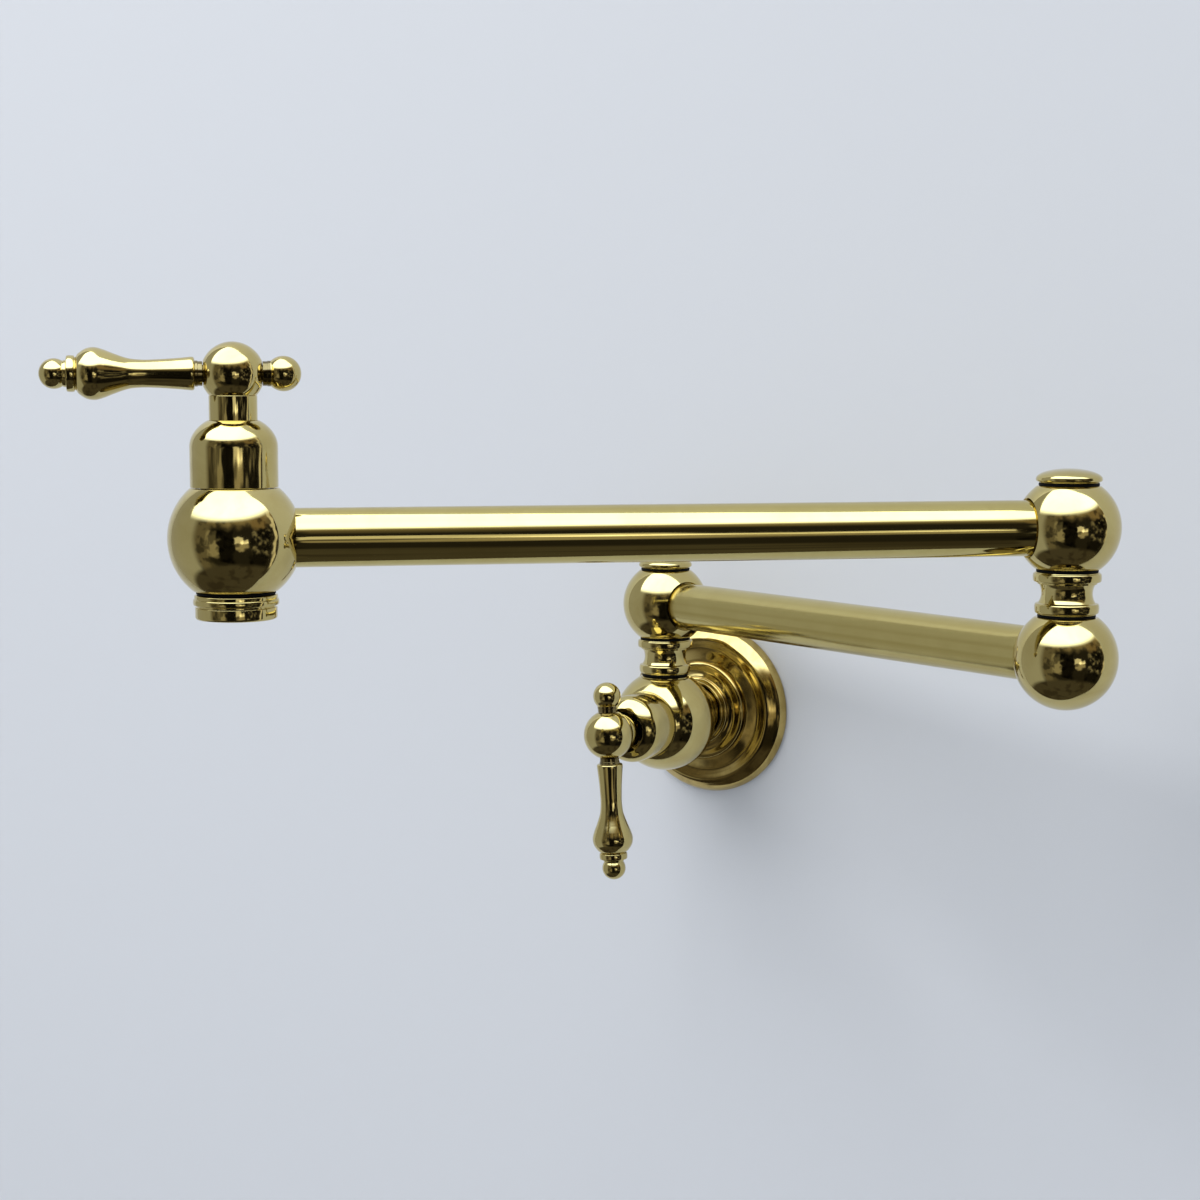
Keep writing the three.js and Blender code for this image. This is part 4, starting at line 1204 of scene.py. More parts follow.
@dataclass(frozen=True)
class Socket:
    """The hollow in a ball that takes a tube's end, along the tube from the ball's centre.

    Attributes:
        bore: Radius that takes the tube.
        at: Where the tube's end stands.
        waterway: Radius of the waterway behind it.
        waterway_at: Where the waterway opens in the ball's chamber.
        lip: How much wider the mouth is than the bore.
        flare: How far past the ball's face the mouth's bevel runs.
    """

    bore: float = 10.3
    at: float = 12.2
    waterway: float = 5.8
    waterway_at: float = 7.0
    lip: float = 0.7
    flare: float = 0.45

    def outline(self, ball: float) -> Outline:
        """Outlines the hollow for a ball of this radius.

        Args:
            ball: Radius of the ball.

        Returns:
            The hollow's outline.
        """
        mouth_radius = self.bore + self.lip
        mouth = math.sqrt(ball**2 - mouth_radius**2)
        clear = ball + 2
        return (
            Outline()
            .to((0, self.waterway_at), (self.waterway, self.waterway_at))
            .to((self.waterway, self.at), (self.bore, self.at), (self.bore, mouth - 0.3))
            .to((mouth_radius, mouth + self.flare), (mouth_radius, clear), (0, clear))
        )


@dataclass
class JointBall:
    """A ball of the arms' joints, about its centre, with its tube along the place's X.

    Attributes:
        node: The node that it stands for.
        place: Where it stands.
        body: The body that carries it.
        turns: Whether it turns on the stem, which then runs right through it.
        radius: Its radius.
        foot: Depth of its lower flat.
        top: Height of its upper flat.
        stem_hole: Radius of the hole for the stem.
        chamber: Radius of the chamber round the stem's ports.
        chamber_half: Half of the chamber's height.
        socket: The hollow for its tube.
    """

    node: str
    place: Place
    body: Body
    turns: bool
    radius: float = 18.7
    foot: float = 14.75
    top: float = 15.0
    stem_hole: float = 7.7
    chamber: float = 11.0
    chamber_half: float = 7.0
    socket: Socket = Socket()

    def build(self, bench: Bench) -> None:
        """Builds the ball and cuts its tube's socket.

        Args:
            bench: Where pieces are finished.
        """
        outline, hole, half = Outline(), self.stem_hole, self.chamber_half
        if self.turns:
            outline.ball(self.radius, -self.foot, self.top, 48)
            outline.to((hole, self.top), (hole, half), (self.chamber, half))
            outline.to((self.chamber, -half), (hole, -half), (hole, -self.foot))
        else:
            outline.ball(self.radius, -self.radius, self.top, 60)
            outline.to((hole, self.top), (hole, -half), (0, -half))
        spun = Lathe.spin(outline.softened(0.35))
        obj = Lathe.to_object(spun, f"{self.node}_piece", self.place)
        Lathe.cut(obj, [cutter(self.socket.outline(self.radius), self.place.sideways())])
        bench.fit(obj, self.node, self.body, Finish.POLISHED)


@dataclass
class OutletBody:
    """The large ball over the outlet, about its centre, with its tube along the place's X.

    Attributes:
        place: Where it stands.
        radius: Its radius.
        seat: Height of the bonnet's seat.
        foot: Depth of its lower flat.
        bore: Radius of the cartridge's chamber.
        floor: Height of the chamber's floor.
        port: Radius of the opening in that floor, and the height of its lower end.
        lower_bore: Radius of the hole for the aerator's thread.
        socket: The hollow for its tube.
    """

    place: Place
    radius: float = 22.4
    seat: float = 16.9
    foot: float = 17.5
    bore: float = 11.5
    floor: float = -6.0
    port: Point = (5.5, -9.0)
    lower_bore: float = 10.8
    socket: Socket = Socket(at=13.0, waterway_at=8.0, lip=0.6, flare=0.4)

    def build(self, bench: Bench) -> None:
        """Builds the ball and cuts its tube's socket.

        Args:
            bench: Where pieces are finished.
        """
        port, port_end = self.port
        outline = (
            Outline()
            .ball(self.radius, -self.foot, self.seat, 56)
            .to((self.bore, self.seat), (self.bore, self.floor))
            .to((port, self.floor), (port, port_end), (self.lower_bore, port_end))
            .to((self.lower_bore, -self.foot))
        )
        spun = Lathe.spin(outline.softened(0.3), Sides.VALVE)
        obj = Lathe.to_object(spun, "outlet_body_piece", self.place)
        Lathe.cut(obj, [cutter(self.socket.outline(self.radius), self.place.sideways())])
        bench.fit(obj, "outlet_body", Body.SECOND_ARM, Finish.POLISHED)


@dataclass
class ArmTube:
    """A drawn tube between two sockets.

    Attributes:
        node: The node that it stands for.
        start: Centre of the ball at its start, in metres.
        end: Centre of the ball at its end, in metres.
        start_gap: Distance of the tube from its start's centre.
        end_gap: Distance of the tube from its end's centre.
        body: The body that carries it.
        radius: Its radius.
        wall: Thickness of its wall.
        rings: Number of stretches that its face is divided into.
    """

    node: str
    start: Vector
    end: Vector
    start_gap: float
    end_gap: float
    body: Body
    radius: float = 10.0
    wall: float = 1.2
    rings: int = 24

    def build(self, bench: Bench, material: bpy.types.Material) -> None:
        """Builds the tube.

        Args:
            bench: Where pieces are finished.
            material: The tube's own material.
        """
        run = self.end - self.start
        place = Place(self.start, run, UP)
        low, high = self.start_gap, run.length / MM - self.end_gap
        inner = self.radius - self.wall
        outline = Outline().to((inner, low), (self.radius, low))
        for index in range(1, self.rings):
            outline.to((self.radius, low + (high - low) * index / self.rings))
        outline.to((self.radius, high), (inner, high))
        spun = Lathe.spin(outline.softened(0.25))
        obj = Lathe.to_object(spun, f"{self.node}_piece", place)
        bench.fit(obj, self.node, self.body, Finish.BRUSHED, material)


@dataclass
class ValveTop:
    """A bonnet, hub, lever and finial, measured along the spindle from the valve's centre.

    Attributes:
        name: The valve's name, which its pieces' names start with.
        place: Where it stands.
        fixed: The body that carries the bonnet.
        handle: The body that turns.
        mouth: Radius and height of the hole in the bonnet's dome.
        hub_at: Height of the hub's centre.
        seat: Height of the bonnet's foot.
        radius: Radius of the bonnet.
        wall: Thickness of the bonnet.
        shoulder: Height where its dome starts.
        hub: Radius of the hub's ball.
        neck: Radius of the hub's neck.
        neck_inside: How far the neck reaches into the bonnet.
        socket: Radius of the hub's hole for the spindle.
        stud_hole: Radius of the hole for a knob's stud, and its distance from the hub's centre.
        spot_face: Radius of the flat round that hole, and its distance.
        lever_neck: How far from the hub's centre the lever's neck ends, which is painted in shade.
        finial_neck: How far from it the finial's neck ends, which is painted in shade.
        screw_below: How far under the hub's centre the set screw is.
        screw_hole: Radius, foot and top of its hole.
        screw: Radius, foot and top of the set screw.
        hexagon: Radius, foot and top of its hexagon socket.
    """

    name: str
    place: Place
    fixed: Body
    handle: Body
    mouth: Point
    hub_at: float
    seat: float = 17.15
    radius: float = 14.6
    wall: float = 1.5
    shoulder: float = 30.4
    hub: float = 10.6
    neck: float = 8.0
    neck_inside: float = 1.5
    socket: float = 3.8
    stud_hole: Point = (3.2, 5.4)
    spot_face: Point = (4.5, 9.65)
    lever_neck: float = 12.35
    finial_neck: float = 12.5
    screw_below: float = 10.2
    screw_hole: Point3 = (1.8, 2.8, 9.5)
    screw: Point3 = (1.5, 3.8, 7.4)
    hexagon: Point3 = (0.85, 5.9, 8.0)

    def build(self, bench: Bench) -> None:
        """Builds the cover and what turns on the spindle.

        Args:
            bench: Where pieces are finished.
        """
        bonnet, at, body = self.bonnet_outline(), self.place, self.fixed
        bench.turn(f"{self.name}_bonnet", bonnet, at, body, Finish.POLISHED, 0.2, Sides.VALVE)
        centre = self.place.raised(self.hub_at)
        self.hub_piece(bench, centre)
        lever, finial = self.lever_outline(), self.finial_outline()
        self.knob(bench, f"{self.name}_lever", lever, centre.sideways(), self.lever_neck)
        self.knob(bench, f"{self.name}_finial", finial, centre.opposite(), self.finial_neck)
        self.set_screw(bench, centre)

    def knob(self, bench: Bench, node: str, outline: Outline, place: Place, neck_end: float) -> None:
        """Turns a knob, whose neck next to the hub gets a darker brass as painted shade between the hub and
        the knob.

        Args:
            bench: Where pieces are finished.
            node: The node that it stands for.
            outline: Its outline.
            place: Where it stands.
            neck_end: How far from the hub's centre the neck, with its painted shade, shows.
        """
        obj = bench.turn(node, outline, place, self.handle, Finish.POLISHED, 0.15, Sides.KNOB)
        # Painted shade: the faces near the hub take the darker brass.
        obj.data.materials.append(bench.finishes.neck_shade)
        along = place.along.normalized()
        for face in obj.data.polygons:
            if (face.center - place.origin).dot(along) < neck_end * MM:
                face.material_index = 1

    def bonnet_outline(self) -> Outline:
        """Outlines the cover, from its straight skirt to the dome's mouth.

        Returns:
            The outline, ready to soften and spin.
        """
        mouth_radius, mouth_at = self.mouth
        inner = self.radius - self.wall
        end = math.degrees(math.acos(mouth_radius / self.radius))
        rise = (mouth_at - self.shoulder) / math.sin(math.radians(end))
        inner_end = math.degrees(math.acos(mouth_radius / inner))
        return (
            Outline()
            .to((inner, self.seat), (self.radius, self.seat))
            .arc((0, self.shoulder), (self.radius, rise), 0, end, 20)
            .arc((0, self.shoulder), (inner, rise - self.wall), inner_end, 0, 12)
        )

    def hub_piece(self, bench: Bench, centre: Place) -> None:
        """Builds the hub with its neck, spot faces and screw hole.

        Args:
            bench: Where pieces are finished.
            centre: The place of the hub's centre.
        """
        neck_foot = self.mouth[1] - self.neck_inside - self.hub_at
        neck_top = -math.sqrt(self.hub**2 - self.neck**2)
        outline = (
            Outline()
            .to((self.socket, neck_foot), (self.neck, neck_foot), (self.neck, neck_top - 0.35))
            .to((self.neck - 0.15, neck_top - 0.2), (self.neck, neck_top))
            .ball(self.hub, neck_top + 0.05, self.hub, 40)
            .to((0, 2.5), (self.socket, 2.5))
        )
        spun = Lathe.spin(outline.softened(0.12))
        obj = Lathe.to_object(spun, f"{self.name}_hub_piece", centre)
        hole, face, clear = self.stud_hole, self.spot_face, 14
        seat = Outline().to((0, hole[1]), hole, (hole[0], face[1]), face, (face[0], clear), (0, clear))
        tools = [cutter(seat, side, Sides.SPOT_FACE) for side in (centre.sideways(), centre.opposite())]
        tools.append(cutter(cylinder(*self.screw_hole), self.screw_place(centre), Sides.SCREW_HOLE))
        Lathe.cut(obj, tools)
        bench.fit(obj, f"{self.name}_hub", self.handle, Finish.POLISHED)

    def screw_place(self, centre: Place) -> Place:
        """Gives the place of the set screw, whose own Z points out of the hub's far side.

        Args:
            centre: The place of the hub's centre.

        Returns:
            The screw's place.
        """
        own_axes = centre.matrix().to_3x3()
        lowered = centre.raised(-self.screw_below)
        return Place(lowered.origin, -own_axes.col[1], centre.along)

    def set_screw(self, bench: Bench, centre: Place) -> None:
        """Builds the grub screw with its hexagon socket.

        Args:
            bench: Where pieces are finished.
            centre: The place of the hub's centre.
        """
        place = self.screw_place(centre)
        spun = Lathe.spin(cylinder(*self.screw).softened(0.15), Sides.SCREW)
        obj = Lathe.to_object(spun, f"{self.name}_hub_set_screw_piece", place)
        Lathe.cut(obj, [cutter(cylinder(*self.hexagon), place, Sides.HEXAGON)])
        bench.fit(obj, f"{self.name}_hub_set_screw", self.handle, Finish.STEEL)

    @staticmethod
    def stud(neck: float) -> Outline:
        """Outlines the stud in the hub's spot face, up to a neck of this radius."""
        return Outline().to((0, 5.7), (2.9, 5.7), (2.9, 9.85), (4.1, 9.85), (4.1, 11.4), (neck, 11.4))

    @classmethod
    def lever_outline(cls) -> Outline:
        """Outlines the lever from its stud to its end ball, measured from the hub's centre.

        Returns:
            The outline, ready to soften and spin.
        """
        return (
            cls.stud(4.3)
            .to((4.3, 12.2), (4.4, 12.4), (4.75, 12.4))
            .arc((4.75, 13.2), (0.8, 0.8), -90, 0, 8)
            .flow([(5.55, 13.6), (5.05, 19.0), (4.68, 25.0), (4.6, 29.5), (5.1, 34.0), (6.75, 38.8)], 6)
            .flow([(7.75, 41.2), (8.65, 44.4), (8.25, 47.3), (6.7, 49.7), (5.6, 50.5)], 7)
            .to((5.3, 50.75), (5.5, 50.9))
            .bead(5.55, 6.0, 50.95, 2.65, 10)
            .to((4.5, 53.75), (4.4, 54.4))
            .arc((0, 57.6), (5.0, 4.95), -34, 90, 20)
        )

    @classmethod
    def finial_outline(cls) -> Outline:
        """Outlines the small ball opposite the lever.

        Returns:
            The outline, ready to soften and spin.
        """
        neck, ball = 4.25, 5.9
        start = -math.degrees(math.acos(neck / ball))
        return cls.stud(neck).arc((0, 16.7), (ball, ball), start, 90, 24)


@dataclass
class Aerator:
    """The end fitting under the outlet ball, measured from the ball's centre.

    Attributes:
        place: Where it stands.
        washer_top: Height of the washer's upper face.
        washer: Thickness of the washer.
        washer_sides: Radius of the washer's hole and of its outside.
        gap: Gap between the washer and the shell.
        shell: Radius of the shell at its mouth.
        bore: Radius of the shell's hollow.
        waterway: Radius of the hole through the thread.
        thread: Radius of the thread's root and of its crest.
        thread_pitch: Distance from one ridge to the next.
        play: How much the insert and screen are smaller than the bore.
        insert_ends: Lowest and highest height of the insert.
        insert_rim: Thickness of the insert's rim.
        insert_rings: Radius of the middle of each inner ring.
        ring_half: Half of the thickness of an inner ring.
        ribs: Number of ribs.
        rib: Thickness of a rib.
        screen_at: Height of the screen.
        screen_rim: Width of the screen's rim.
        rim_half: Half of that rim's thickness.
        cells: Number of the mesh's cells across.
        wire: Thickness of its wire.
    """

    place: Place
    washer_top: float = -17.75
    washer: float = 0.7
    washer_sides: tuple[float, float] = (10.8, 13.2)
    gap: float = 0.25
    shell: float = 13.65
    bore: float = 11.4
    waterway: float = 8.8
    thread: tuple[float, float] = (9.9, 10.5)
    thread_pitch: float = 0.75
    play: float = 0.3
    insert_ends: tuple[float, float] = (-24.6, -20.4)
    insert_rim: float = 0.9
    insert_rings: tuple[float, float] = (3.0, 6.4)
    ring_half: float = 0.3
    ribs: int = 18
    rib: float = 0.5
    screen_at: float = -25.25
    screen_rim: float = 1.3
    rim_half: float = 0.35
    cells: int = 26
    wire: float = 0.3

    def build(self, bench: Bench) -> None:
        """Builds the washer, housing, insert and screen.

        Args:
            bench: Where pieces are finished.
        """
        at, body = self.place, Body.SECOND_ARM
        washer = ring(*self.washer_sides, self.washer_top - self.washer, self.washer_top)
        bench.turn("aerator_washer", washer, at, body, Finish.RUBBER, 0.2)
        housing = self.housing_outline()
        bench.turn("aerator_housing", housing, at, body, Finish.POLISHED, 0.15, Sides.VALVE)
        self.insert(bench)
        self.screen(bench)

    def housing_outline(self) -> Outline:
        """Outlines the shell from its thread to its mouth.

        Returns:
            The outline, ready to soften and spin.
        """
        top = self.washer_top - self.washer - self.gap
        root, crest = self.thread
        outline = Outline().to((self.waterway, top + 7.5), (root, top + 7.5))
        ridge = top + 7.0
        while ridge > top + 1.6:
            outline.to((crest, ridge - 0.35), (root, ridge - self.thread_pitch))
            ridge -= self.thread_pitch
        return (
            outline.to((root, top), (13.6, top), (13.85, top - 0.25), (13.85, top - 1.3))
            .bead(13.85, 14.3, top - 1.4, -2.0, 12)
            .to((13.1, top - 3.45), (13.1, top - 4.15), (self.shell, top - 4.2))
            .arc((self.shell - 0.9, top - 7.3), (0.9, 0.9), 0, -90, 8)
            .to((self.bore + 0.3, top - 8.2), (self.bore, top - 7.9))
            .to((self.bore, top - 1.4), (self.waterway, top - 1.4))
        )

    def insert(self, bench: Bench) -> None:
        """Builds the moulded flow straightener as a wheel of thin ribs.

        Args:
            bench: Where pieces are finished.
        """
        foot, top = self.insert_ends
        radius, half = self.bore - self.play, self.ring_half
        spun = Lathe.spin(ring(radius - self.insert_rim, radius, foot, top).softened(0.1), Sides.KNOB)
        parts = [
            Lathe.spin(ring(at - half, at + half, foot, top).softened(0.08), Sides.RIB_RING)
            for at in self.insert_rings
        ]
        inner, outer = self.insert_rings[0] + 0.2, radius - 0.5
        size = Vector((outer - inner, self.rib, top - foot)) * MM
        middle = Vector(((inner + outer) / 2, 0, (top + foot) / 2)) * MM
        for index in range(self.ribs):
            rib = bmesh.new()
            bmesh.ops.create_cube(rib, size=1.0)
            bmesh.ops.scale(rib, vec=size, verts=rib.verts)
            bmesh.ops.translate(rib, vec=middle, verts=rib.verts)
            spin = Matrix.Rotation(math.tau * index / self.ribs, 3, "Z")
            bmesh.ops.rotate(rib, cent=(0, 0, 0), matrix=spin, verts=rib.verts)
            parts.append(rib)
        Lathe.join(spun, parts)
        obj = Lathe.to_object(spun, "aerator_insert_piece", self.place)
        bench.fit(obj, "aerator_insert", Body.SECOND_ARM, Finish.PLASTIC)

    def screen(self, bench: Bench) -> None:
        """Builds the woven mesh with its pressed rim.

        Args:
            bench: Where pieces are finished.
        """
        level, half = self.screen_at, self.rim_half
        radius = self.bore - self.play
        bm = bmesh.new()
        bmesh.ops.create_grid(bm, x_segments=self.cells, y_segments=self.cells, size=radius * MM)
        outside = [face for face in bm.faces if face.calc_center_median().length > (radius - 0.7) * MM]
        bmesh.ops.delete(bm, geom=outside, context="FACES")
        bmesh.ops.wireframe(
            bm,
            faces=bm.faces,
            thickness=self.wire * MM,
            offset=0.0,
            use_replace=True,
            use_boundary=True,
            use_even_offset=True,
            use_crease=False,
            crease_weight=0.0,
            use_relative_offset=False,
            material_offset=0,
        )
        bmesh.ops.translate(bm, vec=(0, 0, level * MM), verts=bm.verts)
        rim = ring(radius - self.screen_rim, radius, level - half, level + half)
        Lathe.join(bm, [Lathe.spin(rim.softened(0.15), Sides.KNOB)])
        obj = Lathe.to_object(bm, "aerator_screen_piece", self.place)
        bench.fit(obj, "aerator_screen", Body.SECOND_ARM, Finish.STEEL)


# ---- the studio ------------------------------------------------------------------------------


@dataclass(frozen=True)
class Patch:
    """A plain patch of the mirrored room.

    Attributes:
        left: Lowest heading in degrees.
        right: Highest heading.
        low: Lowest elevation in degrees.
        high: Highest elevation.
        colour: Its colour.
        level: How bright it is.
        soft: Width of its edges in degrees.
    """

    left: float
    right: float
    low: float
    high: float
    colour: Colour
    level: float
    soft: float = 4.0

    def inside(self, graph: Graph, heading: object, elevation: object) -> bpy.types.NodeSocket:
        """Marks the inside of the patch.

        Args:
            graph: The node tree.
            heading: Heading of the ray in radians.
            elevation: Its elevation in radians.

        Returns:
            1 inside the patch and 0 outside it.
        """
        return graph.math(
            "MULTIPLY",
            graph.between(heading, self.left, self.right, self.soft),
            graph.between(elevation, self.low, self.high, self.soft),
        )


PALE = (0.93, 0.965, 1.0)
WARM = (1.0, 0.9, 0.75)
LAMPLIGHT = (1.0, 0.93, 0.78)
FLOOR_TINT = (1.0, 0.9, 0.72)
FLOOR_SHADE = (1.0, 0.86, 0.66)
ROOM = (
    Patch(-70.0, 130.0, 27.0, 80.0, (1.0, 0.84, 0.58), 0.36, 20.0),
    Patch(-60.0, -5.0, -60.0, 30.0, (1.0, 0.90, 0.68), 0.16, 16.0),
    Patch(-10.0, 11.0, -26.0, 12.0, (1.0, 0.92, 0.72), 0.34, 7.0),
    Patch(72.0, 100.0, 13.0, 36.0, (1.0, 0.76, 0.46), 0.26, 9.0),
    Patch(37.0, 63.0, -14.0, -4.0, (1.0, 0.90, 0.70), 0.42, 5.0),
    Patch(38.0, 64.0, -5.0, 4.0, (1.0, 0.97, 0.88), 2.4, 3.0),
    Patch(109.0, 116.0, -46.0, 48.0, (1.0, 0.97, 0.88), 0.85, 3.0),
    Patch(68.0, 102.0, -38.0, 17.0, (1.0, 0.90, 0.80), 0.010, 6.0),
    Patch(12.0, 36.0, -40.0, 17.0, (1.0, 0.90, 0.80), 0.008, 5.0),
)


@dataclass(frozen=True)
class Surroundings:
    """What polished metal mirrors: a dim room in front, a bright ceiling and pale panels beside.

    Diffuse light and the view itself see only one even pale light. Headings are angles to the
    right of straight out from the wall. Headings and elevations are in degrees, and an edge is an
    angle and the width that it blurs over.

    Attributes:
        plain: Level of the even light.
        panels: Level of the panels.
        ceiling: Colour of the ceiling.
        ceiling_edge: Elevation where the ceiling begins, straight out from the wall.
        ceiling_tilt: How much that elevation grows with the heading.
        ceiling_left: Normal of the plane through the tap that bounds the ceiling on the left.
        ceiling_side: Edge of the ceiling over that plane.
        room_left: Heading where the left panel ends and the room begins.
        room_right: Heading where the room ends.
        floor_edge: Elevation under which the floor shows.
        floor_lit: Level of the floor.
        floor_shaded: Its level in the shade.
        shade_scale: Fineness of the shade's shapes.
        shade_clear: Share of the pattern where shade begins and is full.
        shaded: How much of a patch's level is left in the shade.
        dark: Level of the room where no patch is.
        bend: How far the patches bend out of true, in radians.
        bend_scale: Fineness of that bending.
        glints: Level of the small lights.
        glint_scale: Fineness of the small lights.
        glint_clear: Share of the pattern where a light begins and is full.
        glint_headings: Lowest and highest heading of the lights, and how wide that blurs.
        glint_elevations: Lowest and highest elevation of the lights, and how wide that blurs.
    """

    plain: float = 0.58
    panels: float = 0.45
    ceiling: Colour = (3.3, 3.7, 4.5)
    ceiling_edge: Edge = (33.5, 12.0)
    ceiling_tilt: float = 0.07
    ceiling_left: Point3 = (0.685, -0.613, 0.394)
    ceiling_side: Edge = (0.0, 3.0)
    room_left: Edge = (-35.0, 16.0)
    room_right: Edge = (119.0, 3.0)
    floor_edge: Edge = (-42.0, 8.0)
    floor_lit: float = 0.075
    floor_shaded: float = 0.045
    shade_scale: float = 3.4
    shade_clear: tuple[float, float] = (0.47, 0.60)
    shaded: float = 0.35
    dark: float = 0.022
    bend: float = 0.40
    bend_scale: float = 4.0
    glints: float = 0.30
    glint_scale: float = 7.0
    glint_clear: tuple[float, float] = (0.50, 0.70)
    glint_headings: tuple[float, float, float] = (70.0, 102.0, 8.0)
    glint_elevations: tuple[float, float, float] = (-22.0, 16.0, 12.0)

    def build(self) -> None:
        """Builds the surroundings and gives them to the scene."""
        world = bpy.data.worlds.new("surroundings")
        world.use_nodes = True
        graph = Graph(world.node_tree)
        world.node_tree.nodes.clear()
        spot = graph.node("ShaderNodeTexCoord").outputs["Generated"]
        axes = graph.node("ShaderNodeSeparateXYZ", {0: spot}).outputs
        heading = graph.math("ARCTAN2", axes["X"], graph.math("MULTIPLY", axes["Y"], -1.0))
        elevation = graph.math("ARCSINE", axes["Z"])
        flat = graph.node("ShaderNodeCombineXYZ", {"X": heading, "Y": elevation}).outputs[0]
        shade = graph.clear(graph.noise(spot, self.shade_scale, 3.0), *self.shade_clear)
        seen = graph.math(
            "MULTIPLY", graph.rise(heading, *self.room_left), graph.fall(heading, *self.room_right)
        )
        panels = scaled(PALE, self.panels)
        sides = graph.blend(seen, panels, self.room(graph, shade, spot, flat))
        lit, shaded = scaled(FLOOR_TINT, self.floor_lit), scaled(FLOOR_SHADE, self.floor_shaded)
        ground = graph.blend(shade, lit, shaded)
        lower = graph.blend(graph.fall(elevation, *self.floor_edge), sides, ground)
        mirrored = graph.blend(self.over_head(graph, spot, heading, elevation), lower, opaque(self.ceiling))
        glossy = graph.node("ShaderNodeLightPath").outputs["Is Glossy Ray"]
        shown = graph.blend(glossy, scaled(PALE, self.plain), mirrored)
        background = graph.node("ShaderNodeBackground", {"Color": shown, "Strength": 1.0})
        graph.node("ShaderNodeOutputWorld", {"Surface": background.outputs[0]})
        bpy.context.scene.world = world

    def over_head(
        self, graph: Graph, spot: bpy.types.NodeSocket, heading: object, elevation: object
    ) -> bpy.types.NodeSocket:
        """Marks the ceiling, over a blurred edge and to the right of a sharp one.

        Args:
            graph: The node tree.
            spot: Direction of the ray.
            heading: Its heading in radians.
            elevation: Its elevation in radians.

        Returns:
            1 on the ceiling and 0 off it.
        """
        tilted = graph.math("SUBTRACT", elevation, graph.math("MULTIPLY", heading, self.ceiling_tilt))
        side = graph.node("ShaderNodeVectorMath", {0: spot, 1: self.ceiling_left}, operation="DOT_PRODUCT")
        right_of = graph.rise(side.outputs["Value"], *self.ceiling_side)
        return graph.math("MULTIPLY", right_of, graph.rise(tilted, *self.ceiling_edge))

    def room(
        self,
        graph: Graph,
        shade: bpy.types.NodeSocket,
        spot: bpy.types.NodeSocket,
        flat: bpy.types.NodeSocket,
    ) -> bpy.types.NodeSocket:
        """Builds the dark room with its lighter patches, all bent out of true and worn by shade.

        Args:
            graph: The node tree.
            shade: Dark shapes from 0 to 1.
            spot: Direction of the ray.
            flat: Heading and elevation of the ray in radians, as X and Y.

        Returns:
            The room's colour.
        """
        bend = graph.noise(spot, self.bend_scale, 1.5, "Color")
        push = graph.node(
            "ShaderNodeVectorMath", {0: bend, 1: (0.5, 0.5, 0.5)}, operation="SUBTRACT"
        ).outputs[0]
        bent = graph.node(
            "ShaderNodeVectorMath", {0: push, 1: (self.bend, self.bend, 0), 2: flat}, operation="MULTIPLY_ADD"
        ).outputs[0]
        axes = graph.node("ShaderNodeSeparateXYZ", {0: bent}).outputs
        colour: object = scaled(WARM, self.dark)
        for patch in ROOM:
            shaded = scaled(patch.colour, self.shaded * patch.level)
            worn = graph.blend(shade, scaled(patch.colour, patch.level), shaded)
            colour = graph.blend(patch.inside(graph, axes["X"], axes["Y"]), colour, worn)
        corner = graph.math(
            "MULTIPLY",
            graph.between(axes["X"], *self.glint_headings),
            graph.between(axes["Y"], *self.glint_elevations),
        )
        lights = graph.clear(graph.noise(spot, self.glint_scale, 4.0), *self.glint_clear)
        glints = graph.math("MULTIPLY", corner, lights)
        return graph.blend(glints, colour, scaled(LAMPLIGHT, self.glints))


